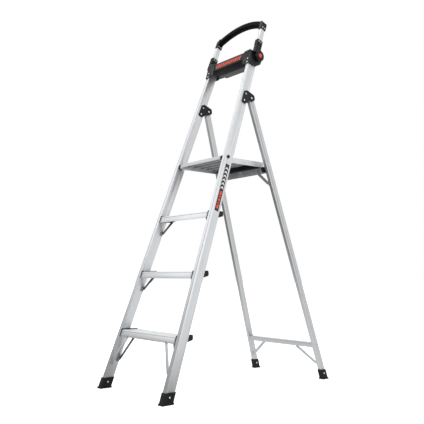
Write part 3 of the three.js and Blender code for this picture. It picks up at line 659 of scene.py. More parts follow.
def new_box(name: str, low: Iterable[float], high: Iterable[float]) -> bpy.types.Object:
    """Starts a piece from a cube primitive between two corners, in metres."""
    low, high = Vector(low), Vector(high)
    bpy.ops.object.select_all(action="DESELECT")
    bpy.ops.mesh.primitive_cube_add(size=1.0, location=(low + high) / 2, scale=high - low)
    piece = bpy.context.object
    piece.name = piece.data.name = name
    bpy.ops.object.transform_apply(location=True, rotation=True, scale=True)
    return piece


def joined(name: str, pieces: list[bpy.types.Object]) -> bpy.types.Object:
    """Joins pieces into the first of them."""
    bpy.ops.object.select_all(action="DESELECT")
    for piece in pieces:
        piece.select_set(True)
    bpy.context.view_layer.objects.active = pieces[0]
    if len(pieces) > 1:
        bpy.ops.object.join()
    pieces[0].name = pieces[0].data.name = name
    return pieces[0]


def placed_copy(pattern: bpy.types.Object, place: Matrix) -> bpy.types.Object:
    """A copy of a pattern piece with its own mesh, moved by a matrix."""
    piece = bpy.data.objects.new(pattern.name, pattern.data.copy())
    bpy.context.scene.collection.objects.link(piece)
    piece.data.transform(place)
    return piece


@dataclass(frozen=True)
class Ribbing:
    """Anti-slip ribs that run across the ladder, one behind the other, in millimetres."""

    pitch: float
    width: float
    height: float
    rounding: float
    dull: float = 0.4
    sunk: float = 0.05  # their feet, into the surface

    def lay(
        self,
        name: str,
        body: str,
        half: float,
        front: float,
        top: float,
        count: int,
        others: Iterable[bpy.types.Object] = (),
    ) -> None:
        """Lays the ribs on a flat top, as one piece.

        Args:
            name: The piece's name.
            body: The body it rides on.
            half: Half the ribs' length, in metres.
            front: Y of the first rib's front, in metres.
            top: Height of the surface, in metres.
            count: How many ribs.
            others: Pieces that are joined to them.
        """
        crest = top + self.height * MM
        rib = new_box(
            "rib", (-half, front, top - self.sunk * MM), (half, front + self.width * MM, crest)
        )
        pick(rib, "EDGE", lambda edge: edge_middle(rib, edge).z > crest - 0.01 * MM)
        bpy.ops.mesh.bevel(offset=self.rounding * MM, segments=2)
        done_editing()
        row = [rib]
        for step in range(1, count):
            row.append(placed_copy(rib, Matrix.Translation((0, step * self.pitch * MM, 0))))
        piece = joined(name, [*row, *others])
        focus(piece)
        bpy.ops.object.shade_smooth_by_angle(angle=math.radians(30))
        dress(piece, body, Extrusion(Grain.ACROSS, RIB_GREY, self.dull))


# ------------------------------------------------------------------ rivets


class RivetSize(Enum):
    """Radius and height of a rivet's head in millimetres."""

    LARGE = (4.4, 1.9)
    MEDIUM = (3.5, 1.5)
    SMALL = (2.3, 0.9)


@dataclass
class RivetGun:
    """Models one blind rivet of each size and sets copies of it."""

    sides: int = 20
    patterns: dict = field(default_factory=dict)

    def pattern(self, size: RivetSize) -> bpy.types.Object:
        """Domed head with a thin flange and its mandrel's dimple, standing on z = 0."""
        if size in self.patterns:
            return self.patterns[size]
        radius, height = (value * MM for value in size.value)
        bpy.ops.object.select_all(action="DESELECT")
        bpy.ops.mesh.primitive_cylinder_add(
            vertices=self.sides, radius=radius, depth=0.4 * height, location=(0, 0, 0.2 * height)
        )
        head = bpy.context.object
        head.name = f"rivet_{size.name.lower()}"
        bpy.ops.object.transform_apply(location=True, rotation=True, scale=True)
        pick(head, "FACE", lambda face: face.normal.z > 0.9)
        for inset, rise in ((0.1, 0.2), (0.14, 0.2), (0.2, 0.2)):
            bpy.ops.mesh.inset(thickness=inset * radius, depth=rise * height)
        bpy.ops.mesh.inset(thickness=0.2 * radius, depth=0.0)
        bpy.ops.mesh.inset(thickness=0.06 * radius, depth=-0.35 * height)
        done_editing()
        focus(head)
        bpy.ops.object.shade_smooth_by_angle(angle=math.radians(40))
        self.patterns[size] = head
        return head

    def set_row(
        self,
        name: str,
        body: str,
        size: RivetSize,
        places: list[tuple[Vector, Vector]],
        finish: Finish = STEEL,
    ) -> bpy.types.Object:
        """Sets a group of rivets as one piece.

        Args:
            name: The piece's name.
            body: The body it rides on.
            size: Which rivet.
            places: Foot and outward direction of each rivet, in the row frame.
            finish: The rivets' finish.

        Returns:
            The piece.
        """
        heads = []
        for foot, outward in places:
            turn = Vector((0, 0, 1)).rotation_difference(outward).to_matrix().to_4x4()
            heads.append(placed_copy(self.pattern(size), Matrix.Translation(foot) @ turn))
        return dress(joined(name, heads), body, finish)

    def put_away(self) -> None:
        """Removes the pattern rivets."""
        for pattern in self.patterns.values():
            bpy.data.objects.remove(pattern)
        self.patterns.clear()


# ------------------------------------------------------------------ the front frame


@dataclass
class Rails:
    """The front rails, their label and the rivet tail on the back of each, in millimetres."""

    layout: Layout
    gun: RivetGun
    edge: float = 0.35
    lip_corner: float = 2.5  # size of the corner that is drawn in
    lip_drawn_in: float = 2.6
    tail_height: float = 150.0
    label_back: tuple[float, float] = (14.9, 38.1)  # behind the front face
    label_heights: tuple[float, float] = (850.0, 1086.0)
    label_face: float = 23.62  # outwards, on the sunk web
    film: float = 0.35
    white_from: float = 0.43  # share of the label's length where the white marks start
    white_margins: tuple[float, float] = (6.0, 8.0)  # below and above the white marks
    chevron: tuple[float, float, float] = (8.2, 9.0, 8.0)  # half width, point and thickness
    chevron_pitch: float = 21.0
    bars_from: float = 11.0
    bar_lengths: tuple[float, ...] = (20.0, 7.0, 13.0, 7.0, 20.0)
    bar_gap: float = 6.0
    bar_half: float = 6.0
    bar_slant: float = 4.0

    def build(self) -> None:
        """Makes the rails and what is stuck on them."""
        for side in Side:
            node = f"{side.word}_front_rail"
            finish_node(node, self.edge, shape=lambda rail: self.turn_lip(rail, side))
            self.tail(side)
        self.label()

    def turn_lip(self, rail: bpy.types.Object, side: Side) -> None:
        """Draws in a rail's outer front corner, so that its lip faces a little forwards."""
        into = self.layout.rails.matrix(side).inverted()
        width = self.layout.rail_width

        def on_corner(vertex: bpy.types.MeshVertex) -> bool:
            """Whether a vertex is on the outer front corner."""
            place = into @ vertex.co / MM
            return place.y < self.lip_corner and side.value * place.x > width - self.lip_corner

        focus(rail)
        pick(rail, "VERT", on_corner)
        inward = self.layout.rails.direction(side, -1, 0, 0)
        bpy.ops.transform.translate(value=inward * self.lip_drawn_in * MM)
        done_editing()

    def tail(self, side: Side) -> None:
        """Rivet tail on a rail's rear face, behind the lowest brace."""
        rails, depth = self.layout.rails, self.layout.rail_depth
        along = self.layout.along(depth, self.tail_height)
        place = rails.point(side, self.layout.rail_width / 2, depth, along)
        spot = [(place, rails.direction(side, 0, 1, 0))]
        name = f"{side.word}_rail_tail_rivet"
        self.gun.set_row(name, "front_frame", RivetSize.MEDIUM, spot, SHADE_AND_WEAR_STEEL)

    def strip(
        self,
        name: str,
        across: tuple[float, float],
        along: tuple[float, float],
        lift: float,
        slant: float,
    ) -> bpy.types.Object:
        """A thin slanted bar lying on the right rail's web.

        Args:
            name: The piece's name.
            across: From and to behind the rail's front face, in millimetres.
            along: From and to along the rail.
            lift: Height of its underside above the web.
            slant: How much further along the rail its rear edge is than its front edge.

        Returns:
            The bar, in the row frame.
        """
        under = self.label_face + lift
        foot = Vector((under, across[0], along[0])) * MM
        piece = new_box(name, foot, Vector((under + self.film, across[1], along[1])) * MM)
        middle = sum(across) / 2 * MM
        pick(piece, "VERT", lambda vertex: vertex.co.y > middle)
        bpy.ops.transform.translate(value=(0, 0, slant * MM))
        done_editing()
        piece.data.transform(self.layout.rails.matrix(Side.RIGHT))
        return piece

    def label(self) -> None:
        """Black film with plain chevrons and bars: no words."""
        middle = sum(self.label_back) / 2
        low, high = (self.layout.along(middle, height) for height in self.label_heights)
        film = self.strip("rail_label_film", self.label_back, (low, high), 0.0, 0.0)
        soften(film, 0.1, 1)
        dress(film, "front_frame", LABEL_FILM)
        half, point, thick = self.chevron
        below, above = self.white_margins
        start = low + (high - low) * self.white_from
        whites, oranges = [], []
        for index in range(int((high - above - start) / self.chevron_pitch)):
            at = start + below + index * self.chevron_pitch
            for front, foot, slant in ((middle - half, at, point), (middle, at + point, -point)):
                across, along = (front, front + half), (foot, foot + thick)
                whites.append(self.strip("bar", across, along, self.film, slant))
        at = low + self.bars_from
        across = (middle - self.bar_half, middle + self.bar_half)
        for length in self.bar_lengths:
            oranges.append(self.strip("bar", across, (at, at + length), self.film, self.bar_slant))
            at += length + self.bar_gap
        dress(joined("rail_label_chevrons", whites), "front_frame", WHITE_INK)
        dress(joined("rail_label_bars", oranges), "front_frame", ORANGE_INK)


@dataclass
class Steps:
    """The three steps with ribbed treads, their end caps, braces and rivets, in millimetres."""

    layout: Layout
    gun: RivetGun
    edge: float = 0.5
    cap_edge: float = 0.6
    brace_edge: float = 0.4
    ribbing: Ribbing = Ribbing(pitch=5.6, width=2.6, height=0.7, rounding=0.55)
    rib_first: float = 5.0
    rib_count: int = 15
    rib_ends: float = 6.9  # from a step's ends
    flange_depth: float = 32.0
    flange_behind: float = 0.94  # from the rails' front faces to the front flange's
    bead_size: tuple[float, float] = (5.0, 1.1)  # height and how proud it stands
    bead_sunk: tuple[float, float] = (0.6, 0.3)  # into the flange, and above its own line
    bead_below: float = 1.6
    rivet_in: float = 11.0
    rivets_below: tuple[float, ...] = (10.5, 18.0, 26.5)
    brace_face: float = 2.8  # from a rail's inner face
    brace_lift: float = 0.3
    front_brace: tuple[float, float] = (11.6, 23.0)  # behind the rail's front, and below the top
    rear_brace: tuple[float, float, float] = (37.6, 14.0, 14.39)  # the same, and further up
    low_reach: tuple[float, float] = (72.0, 138.0)  # inwards and down, for the lowest step's braces
    high_drop: float = 80.0

    def build(self) -> None:
        """Makes the steps from the lowest up."""
        for number in (1, 2, 3):
            finish_node(f"step_{number}", self.edge)
            self.tread(number)
            self.rivets(number)
            for side in Side:
                finish_node(f"step_{number}_{side.word}_cap", self.cap_edge)
        for side in Side:
            for name in ("1_{}_front_brace", "1_{}_rear_brace", "2_{}_brace", "3_{}_brace"):
                finish_node(f"step_{name.format(side.word)}", self.brace_edge)
            self.brace_rivets(side)

    def tread(self, number: int) -> None:
        """Anti-slip ribs along the top of a step, and the bead along its front."""
        low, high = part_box(f"step_{number}")
        half = high.x - self.rib_ends * MM
        first = low.y + math.tan(self.layout.lean_radians) * self.flange_depth * MM
        front = first + self.rib_first * MM
        name, bead = f"step_{number}_tread_ribs", self.bead(half, high.z)
        self.ribbing.lay(name, "front_frame", half, front, high.z, self.rib_count, [bead])

    def bead(self, half: float, top: float) -> bpy.types.Object:
        """Rounded bead along the top of a step's front face.

        Args:
            half: Half its length, in metres.
            top: Height of the step's top.

        Returns:
            The bead, in the row frame.
        """
        (size, proud), (sunk, over) = self.bead_size, self.bead_sunk
        bead = new_box("bead", (-half, -proud * MM, -size * MM), (half, sunk * MM, over * MM))

        def along_front(edge: bpy.types.MeshEdge) -> bool:
            """Whether an edge runs along the bead's front."""
            middle = edge_middle(bead, edge)
            return middle.y < 0 and abs(middle.x) < half / 2

        pick(bead, "EDGE", along_front)
        bpy.ops.mesh.bevel(offset=0.7 * MM, segments=2)
        done_editing()
        along = self.layout.along(self.flange_behind, top / MM - self.bead_below)
        foot = self.layout.rails.point(Side.RIGHT, 0, self.flange_behind, along)
        lean = Matrix.Rotation(-self.layout.lean_radians, 4, "X")
        bead.data.transform(Matrix.Translation((0, foot.y, foot.z)) @ lean)
        return bead

    def rivets(self, number: int) -> None:
        """Small rivets through a step's front flange near its ends."""
        rails, back = self.layout.rails, self.flange_behind
        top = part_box(f"step_{number}")[1].z / MM
        places = []
        for side in Side:
            for drop in self.rivets_below:
                place = rails.point(side, -self.rivet_in, back, self.layout.along(back, top - drop))
                places.append((place, rails.direction(side, 0, -1, 0)))
        name = f"step_{number}_rivets"
        self.gun.set_row(name, "front_frame", RivetSize.SMALL, places, SHADE_AND_WEAR_STEEL)

    def brace_rivets(self, side: Side) -> None:
        """Rivets at the head and foot of each brace on one side."""
        rails, along, face = self.layout.rails, self.layout.along, -self.brace_face
        inward, forward = rails.direction(side, -1, 0, 0), rails.direction(side, 0, -1, 0)
        rear_back, rear_below, rear_up = self.rear_brace
        front_back, front_below = self.front_brace
        reach, low_drop = self.low_reach
        places = []
        for number in (1, 2, 3):
            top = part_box(f"step_{number}")[1].z / MM
            drop = low_drop if number == 1 else self.high_drop
            rear = along(0, top - rear_below) + rear_up
            places.append((rails.point(side, face, rear_back, rear - drop), inward))
            if number == 1:
                head = along(0, top - front_below)
                places.append((rails.point(side, face, front_back, head - drop), inward))
                front = rails.point(side, -reach - self.brace_lift, self.flange_behind, head)
                places.append((front, forward))
        name = f"{side.word}_brace_rivets"
        self.gun.set_row(name, "front_frame", RivetSize.MEDIUM, places, SHADE_AND_WEAR_STEEL)


@dataclass
class Shoes:
    """Rubber shoes on the rails and legs, in millimetres."""

    layout: Layout
    gun: RivetGun
    edge: float = 1.0
    sole: tuple[float, float, float] = (40.0, 3.0, 1.6)  # reach, border and depth of its recess
    wall: float = 3.0
    rivet_height: float = 29.0

    def build(self) -> None:
        """Makes the four shoes, each with a recessed sole and its rivets."""
        rails, legs, layout = self.layout.rails, self.layout.legs, self.layout
        middle, wall = layout.rail_depth / 2, self.wall
        level = layout.along(middle, self.rivet_height)
        reach = (self.rivet_height - layout.pivot.z) / math.cos(math.radians(layout.leg_lean))
        down = Vector((0, 0, -1))
        for side in Side:
            for name in ("front", "rear"):
                node = f"{side.word}_{name}_shoe"
                low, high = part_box(node)
                sole = Vector(((low.x + high.x) / 2, (low.y + high.y) / 2, low.z))
                finish_node(
                    node, self.edge, 3, shape=lambda shoe: panel(shoe, down, sole, *self.sole)
                )
            for name, lean, faces, back, along in (
                ("front", rails, (layout.rail_width + wall, -wall), middle, level),
                ("rear", legs, (wall, -layout.leg_width - wall), 0, reach),
            ):
                places = [
                    (lean.point(side, face, back, along), lean.direction(side, way, 0, 0))
                    for face, way in zip(faces, (1, -1))
                ]
                row = f"{side.word}_{name}_shoe_rivets"
                self.gun.set_row(row, f"{name}_frame", RivetSize.LARGE, places)


@dataclass
class Hinges:
    """Black hinge plates between the frames, with their pins and rivets, in millimetres."""

    layout: Layout
    gun: RivetGun
    edge: float = 0.7
    pin_edge: float = 0.3
    plate: float = 3.8  # thickness and clearance, beyond the rail's face
    sunk: tuple[float, float, float] = (60.0, 3.2, 0.6)  # reach, border and depth of the panel
    rivet_places: tuple[tuple[float, float], ...] = ((26.8, 1472.5), (26.3, 1436.5))

    def build(self) -> None:
        """Makes both sides' plates, pins and rivets."""
        rails, layout = self.layout.rails, self.layout
        depth = self.sunk[-1]
        for side in Side:
            places = []
            for name, outward, face in (
                ("outer", 1, layout.rail_width + self.plate),
                ("inner", -1, -self.plate),
            ):
                node = f"{side.word}_{name}_hinge_plate"
                facing = rails.direction(side, outward, 0, 0)
                middle = sum(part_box(node), Vector()) / 2
                finish_node(
                    node, self.edge, 3, shape=lambda plate: panel(plate, facing, middle, *self.sunk)
                )
                for back, height in self.rivet_places:
                    along = layout.along(back, height)
                    places.append((rails.point(side, face - outward * depth, back, along), facing))
            name = f"{side.word}_hinge_rivets"
            self.gun.set_row(name, "front_frame", RivetSize.LARGE, places)
            finish_node(f"{side.word}_hinge_pin", self.pin_edge)


# ------------------------------------------------------------------ the rear frame


@dataclass
class RearFrame:
    """Rear legs, crossbars, corner blocks, braces and the platform's catch, in millimetres."""

    layout: Layout
    gun: RivetGun
    edge: float = 0.35
    bar_edge: float = 0.4
    block_edge: float = 0.8
    ribbing: Ribbing = Ribbing(pitch=5.4, width=2.2, height=0.6, rounding=0.45)
    rib_count: int = 5
    bar_depth: float = 30.0
    rib_first: float = 3.0
    rib_ends: float = 2.0
    low_bar_top: float = 192.0
    brace_face: float = 2.8  # from a leg's inner face
    brace_lift: float = 0.3
    # Each crossbar's braces: reach inwards, drop, how far the head is below the bar's top, and the
    # depths of the head and the foot before the pivot.
    high_brace: tuple[float, ...] = (60.0, 70.0, 13.0, 18.3, 10.3)
    low_brace: tuple[float, ...] = (112.0, 92.0, 18.0, 15.5, 5.2)
    low_bar_end: float = 13.0  # its rivet, below the lower crossbar's top
    outer_back: float = 5.0  # the rivets in the legs' outer faces, behind the pivot

    def along_leg(self, z: float) -> float:
        """Distance along a leg from the pivot to a height, below zero."""
        lean, splay = math.radians(self.layout.leg_lean), math.radians(self.layout.leg_splay)
        return (z - self.layout.pivot.z) / math.cos(lean) / math.cos(splay)

    def build(self) -> None:
        """Makes the whole rear frame."""
        for node in ("lower_crossbar", "upper_crossbar", "platform_catch"):
            finish_node(node, self.bar_edge)
        self.bar_grip()
        for side in Side:
            for name in ("{}_rear_leg", "lower_{}_leg_brace", "upper_{}_leg_brace"):
                finish_node(name.format(side.word), self.edge)
            finish_node(f"{side.word}_corner_block", self.block_edge, 3)
            self.rivets(side)

    def bar_grip(self) -> None:
        """Fine ribs along the top of the lower crossbar."""
        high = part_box("lower_crossbar")[1]
        front = high.y - (self.bar_depth - self.rib_first) * MM
        half = high.x - self.rib_ends * MM
        name = "lower_crossbar_ribs"
        self.ribbing.lay(name, "rear_frame", half, front, high.z, self.rib_count)

    def rivets(self, side: Side) -> None:
        """Rivets at both ends of the braces, through the crossbars' ends and the corner blocks."""
        legs, width = self.layout.legs, self.layout.leg_width
        inward, forward = legs.direction(side, -1, 0, 0), legs.direction(side, 0, -1, 0)
        heads, feet, levels = [], [], []
        for top, brace in (
            (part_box("upper_crossbar")[1].z / MM, self.high_brace),
            (self.low_bar_top, self.low_brace),
        ):
            reach, drop, below, head_depth, foot_depth = brace
            head = self.along_leg(top - below)
            inner = -width - self.brace_lift - reach
            heads.append((legs.point(side, inner, -head_depth, head), forward))
            face = -width - self.brace_face
            feet.append((legs.point(side, face, -foot_depth, head - drop), inward))
            levels.append((head, head - drop))
        places = [heads[0], feet[0], feet[1], heads[1]]
        self.gun.set_row(
            f"{side.word}_rear_brace_rivets", "rear_frame", RivetSize.MEDIUM, places
        )
        (high_head, high_foot), (_, low_foot) = levels
        low_end = self.along_leg(self.low_bar_top - self.low_bar_end)
        ends = [
            (legs.point(side, 0, self.outer_back, along), legs.direction(side, 1, 0, 0))
            for along in (low_end, high_head, high_foot, low_foot)
        ]
        self.gun.set_row(
            f"{side.word}_leg_rivets", "rear_frame", RivetSize.SMALL, ends, SHADE_AND_WEAR_STEEL
        )


# ------------------------------------------------------------------ the platform


@dataclass
class Platform:
    """The folding platform with its ribbed top, side members and pivots, in millimetres."""

    gun: RivetGun
    deck_edge: float = 0.5
    edge: float = 0.8
    ribbing: Ribbing = Ribbing(pitch=7.6, width=3.4, height=0.8, rounding=0.6, dull=0.42)
    margin: float = 7.0
    plain_front: float = 8.0  # strip along the deck's front edge, before the margin
    rib_ends: float = 4.0
    rivet_shares: tuple[float, ...] = (0.3, 0.55, 0.93)  # of a side member's length
    rivet_height: float = 11.0

    def build(self) -> None:
        """Makes the platform's pieces."""
        deck = Extrusion(Grain.ACROSS, DECK_GREY, dull=0.5)
        finish_node("platform_deck", self.deck_edge, finish=deck)
        self.top()
        finish_node("platform_rest_strip", self.edge)
        for side in Side:
            for name in ("side", "pivot_bracket", "pivot_bolt"):
                finish_node(f"platform_{side.word}_{name}", self.edge, 3)
            self.rivets(side)

    def top(self) -> None:
        """Anti-slip ribs over the deck."""
        low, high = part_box("platform_deck")
        front = low.y + (self.plain_front + self.margin) * MM
        span = (high.y - front) / MM - self.margin - self.ribbing.width
        count = math.ceil(span / self.ribbing.pitch)
        half = high.x - self.rib_ends * MM
        self.ribbing.lay("platform_deck_ribs", "platform", half, front, high.z, count)

    def rivets(self, side: Side) -> None:
        """Rivets along a side member."""
        low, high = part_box(f"platform_{side.word}_side")
        face = high.x if side is Side.RIGHT else low.x
        height, outward = low.z + self.rivet_height * MM, Vector((side.value, 0, 0))
        places = []
        for share in self.rivet_shares:
            places.append((Vector((face, low.y + (high.y - low.y) * share, height)), outward))
        name = f"platform_{side.word}_rivets"
        self.gun.set_row(name, "platform", RivetSize.SMALL, places, SHADE_AND_WEAR_STEEL)


# ------------------------------------------------------------------ rail tops and tray


@dataclass
class RailTops:
    """End castings and the tool tray between them, in millimetres."""

    layout: Layout
    gun: RivetGun
    casting_edge: float = 1.2
    casting_panel: tuple[float, float, float] = (90.0, 3.0, 0.8)  # reach, border and depth
    casting_slope: float = 8.0 / 78.0
    casting_front: tuple[float, float] = (3.0, 46.0)  # before the rail, this far below its end
    rivet_out: float = 10.0
    rivet_heights: tuple[float, float] = (1675.0, 1656.0)
    tray_edge: float = 1.0
    bar_pitch: float = 17.0
    bar_width: float = 11.2
    bar_height: float = 22.0
    bar_thick: float = 0.5
    bar_sunk: float = 0.1
    bar_edge: float = 0.15
    slant: float = 9.0
    mark_half: float = 104.0
    mark_below: float = 31.0  # its foot, below the tray's top edge
    tilt: float = 12.3
    fascia: tuple[float, float] = (10.0, 31.0)  # its top edge, before the rails and past their ends

    def build(self) -> None:
        """Makes the castings, the tray and the stripes on its front."""
        rails, layout = self.layout.rails, self.layout
        before, below = self.casting_front
        for side in Side:
            node = f"{side.word}_end_casting"
            middle, facing = sum(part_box(node), Vector()) / 2, rails.direction(side, 0, -1, 0)
            finish_node(
                node,
                self.casting_edge,
                3,
                shape=lambda casting: panel(casting, facing, middle, *self.casting_panel),
            )
            places = []
            for height in self.rivet_heights:
                along = layout.along(0, height)
                front = -before - (along - (layout.rail_end - below)) * self.casting_slope
                place = rails.point(side, self.rivet_out, front, along)
                places.append((place, rails.direction(side, 0, -1, -0.1)))
            name = f"{side.word}_casting_rivets"
            self.gun.set_row(name, "front_frame", RivetSize.LARGE, places)
        finish_node("tool_tray", self.tray_edge)
        self.stripes()

    def stripes(self) -> None:
        """A plain row of slanted orange bars across the tray's front: no words."""
        tilt = math.radians(self.tilt)
        tall = self.bar_height / 2
        bars = []
        for index in range(round(2 * self.mark_half / self.bar_pitch)):
            at = -self.mark_half + index * self.bar_pitch
            foot = Vector((at, -self.bar_thick, -tall)) * MM
            bar = new_box("bar", foot, Vector((at + self.bar_width, self.bar_sunk, tall)) * MM)
            pick(bar, "VERT", lambda vertex: vertex.co.z > 0)
            bpy.ops.transform.translate(value=(self.slant * MM, 0, 0))
            done_editing()
            bars.append(bar)
        mark = joined("tray_stripes", bars)
        soften(mark, self.bar_edge, 1)
        before, past = self.fascia
        edge = self.layout.rails.point(Side.RIGHT, 0, -before, self.layout.rail_end + past)
        middle = self.mark_below - tall + self.bar_thick
        back = edge.y / MM - middle * math.tan(tilt)
        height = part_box("tool_tray")[1].z / MM - middle
        place = Matrix.Translation(Vector((0, back, height)) * MM)
        mark.data.transform(place @ Matrix.Rotation(-tilt, 4, "X"))
        dress(mark, "front_frame", ORANGE_INK)


# ------------------------------------------------------------------ the hand rail


@dataclass
class HandRail:
    """Folding hand rail: arms with lock buttons, tubes, corners and the grip, in millimetres."""

    layout: Layout
    gun: RivetGun
    arm_faces: tuple[float, float] = (30.0, 50.0)  # inner and outer, from the rail's inner face
    corner_faces: tuple[float, float] = (29.0, 51.0)
    arm_front: tuple[float, float, float] = (40.0, -1.0, 45.0)  # middle of the arm's front panel
    front_panel: tuple[float, float, float] = (60.0, 2.6, 1.2)  # reach, border and depth
    side_panel: tuple[float, float, float] = (45.0, 3.0, 0.7)
    corner_panel: tuple[float, float, float] = (40.0, 3.0, 0.7)
    panel_back: float = 18.0
    panel_heights: tuple[float, float] = (55.0, 178.0)  # on the arm and the corner, over the hub
    edge: float = 1.0
    tube_edge: float = 0.4
    corner_top: tuple[float, float, float, float] = (196.5, 214.0, 2.5, 33.0)
    top_round: float = 5.0
    ring: tuple[float, float, float] = (23.0, 7.2, 1.6)  # radius, width and thickness
    ring_in: float = 3.0
    button_rim: float = 2.4
    button_dish: tuple[float, float] = (1.0, 0.4)  # width and depth of its wall
    rivets_back: tuple[float, float] = (11.0, 25.0)
    rivet_heights: tuple[float, float] = (73.0, 165.0)  # on the arm and the corner, over the hub
    grip_section: tuple[float, float] = (36.0, 31.0)
    grip_corner: float = 11.0
    grip_cut: tuple[float, float] = (0.3, 194.0)  # inside the corner, and over the hub
    rib_pitch: float = 3.6
    rib_depth: float = 0.55
    past: float = 1.08  # how far the grip is swept past its ends before they are cut

    def build(self) -> None:
        """Makes the hand rail."""
        for side in Side:
            name = f"{side.word}_handle"
            finish_node(f"{name}_arm", self.edge, 3, shape=lambda arm: self.sink_arm(arm, side))
            self.hub_ring(side)
            self.button(side)
            finish_node(f"{name}_tube", self.tube_edge)
            finish_node(
                f"{name}_corner", self.edge, shape=lambda corner: self.sink_corner(corner, side)
            )
            self.rivets(side)
        self.grip()

    def sink_sides(
        self,
        piece: bpy.types.Object,
        side: Side,
        faces: tuple[float, float],
        height: float,
        sunk: tuple[float, float, float],
    ) -> None:
        """Sinks a panel into a piece's outer face, then one into its inner face.

        Args:
            piece: The arm or corner.
            side: Which side of the ladder it is on.
            faces: Its inner and outer faces.
            height: The panels' middles, over the hub.
            sunk: Reach, border and depth of a panel.
        """
        rails, up = self.layout.rails, self.layout.hub + height
        for outward, face in zip((1, -1), reversed(faces)):
            facing = rails.direction(side, outward, 0, 0)
            panel(piece, facing, rails.point(side, face, self.panel_back, up), *sunk)

    def sink_arm(self, arm: bpy.types.Object, side: Side) -> None:
        """Sinks the panels in an arm's front and sides."""
        rails, (out, back, up) = self.layout.rails, self.arm_front
        middle = rails.point(side, out, back, self.layout.hub + up)
        panel(arm, rails.direction(side, 0, -1, 0), middle, *self.front_panel)
        self.sink_sides(arm, side, self.arm_faces, self.panel_heights[0], self.side_panel)

    def sink_corner(self, corner: bpy.types.Object, side: Side) -> None:
        """Sinks the panels in a corner's sides and rounds its top."""
        self.sink_sides(corner, side, self.corner_faces, self.panel_heights[1], self.corner_panel)
        self.round_top(corner, side)

    def round_top(self, corner: bpy.types.Object, side: Side) -> None:
        """Rounds the outer edges at the top of a handle corner well over."""
        into = self.layout.rails.matrix(side).inverted()
        low, high, front, back = self.corner_top

        def on_top(edge: bpy.types.MeshEdge) -> bool:
            """Whether an edge runs along the front or back of the corner's top."""
            place = into @ edge_middle(corner, edge) / MM
            ends = [(into @ corner.data.vertices[i].co / MM) for i in edge.vertices]
            across = abs(ends[0].y - ends[1].y) < 1.0
            over = low < place.z - self.layout.hub < high
            return over and (place.y < front or place.y > back) and across

        focus(corner)
        if pick(corner, "EDGE", on_top):
            bpy.ops.mesh.bevel(offset=self.top_round * MM, segments=3)
        done_editing()

    def hub_ring(self, side: Side) -> None:
        """Raised ring on the hub's outer face, round the button."""
        low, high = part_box(f"{side.word}_lock_button")
        centre = (low + high) / 2
        face = (high.x if side is Side.RIGHT else low.x) - side.value * self.ring_in * MM
        radius, width, thick = (size * MM for size in self.ring)
        bpy.ops.object.select_all(action="DESELECT")
        bpy.ops.mesh.primitive_cylinder_add(vertices=48, radius=radius, depth=thick)
        ring = bpy.context.object
        ring.name = f"{side.word}_hub_ring"
        pick(ring, "FACE", lambda end: abs(end.normal.z) > 0.9)
        bpy.ops.mesh.inset(thickness=width, depth=0.0)
        bpy.ops.mesh.bridge_edge_loops()
        done_editing()
        soften(ring, 0.5, 2)
        turn = Matrix.Rotation(math.radians(90), 4, "Y")
        ring.data.transform(Matrix.Translation((face, centre.y, centre.z)) @ turn)
        dress(ring, "hand_rail", NYLON)

    def button(self, side: Side) -> None:
        """Lock button with a shallow finger dish and a rounded rim."""
        node = f"{side.word}_lock_button"
        low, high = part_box(node)
        end = high.x if side is Side.RIGHT else low.x
        wide, deep = self.button_dish

        def on_end(face: bpy.types.MeshPolygon) -> bool:
            """Whether a face is on the button's outer end."""
            return abs(face.center.x - end) < 1.0 * MM and face.normal.x * side.value > 0.6

        def dish(button: bpy.types.Object) -> None:
            """Sinks the finger dish."""
            focus(button)
            pick(button, "FACE", on_end)
            bpy.ops.mesh.inset(thickness=self.button_rim * MM, depth=0.0)
            bpy.ops.mesh.inset(thickness=wide * MM, depth=-deep * MM)
            done_editing()

        finish_node(node, 0.4, shape=dish)

    def rivets(self, side: Side) -> None:
        """Two rivets on each face of an arm and a corner."""
        rails, hub, depth = self.layout.rails, self.layout.hub, self.side_panel[-1]
        places = []
        for outward in (1, -1):
            facing = rails.direction(side, outward, 0, 0)
            faces = [pair[(outward + 1) // 2] for pair in (self.arm_faces, self.corner_faces)]
            for back in self.rivets_back:
                for face, height in zip(faces, self.rivet_heights):
                    place = rails.point(side, face - outward * depth, back, hub + height)
                    places.append((place, facing))
        self.gun.set_row(f"{side.word}_handle_rivets", "hand_rail", RivetSize.MEDIUM, places)

    def grip(self) -> None:
        """Ribbed foam grip, swept along its arc."""
        layout = self.layout
        source = frame["nodes"]["hand_grip"].data.vertices
        lean = Matrix.Rotation(-layout.lean_radians, 4, "X")
        plane = Matrix.Translation((0, layout.front_at_floor * MM, 0)) @ lean
        points = [plane.inverted() @ vertex.co for vertex in source]
        half = max(point.x for point in points)
        top = max(point.z for point in points)
        end = max(point.z for point in points if point.x > half - 2 * MM)
        thick, depth = (size * MM for size in self.grip_section)
        rise = top - end
        outer = (half * half + rise * rise) / (2 * rise)
        radius = outer - thick / 2
        back = (min(point.y for point in points) + max(point.y for point in points)) / 2
        spread = math.asin(half / outer) * self.past
        steps = 2 * int(2 * spread * radius / (self.rib_pitch * MM))
        grip = self.section(thick, depth)
        grip.data.transform(Matrix.Translation((0, 0, radius)))
        grip.data.transform(Matrix.Rotation(-spread, 4, "Y"))
        focus(grip)
        pick(grip, "FACE", lambda face: True)
        bpy.ops.mesh.spin(steps=steps, angle=-2 * spread, center=(0, 0, 0), axis=(0, 1, 0))
        done_editing()
        self.rib(grip, spread, steps)
        grip.data.transform(plane @ Matrix.Translation((0, back, top - outer)))
        self.cut(grip)
        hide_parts("hand_grip")
        dress(grip, "hand_rail", FOAM)

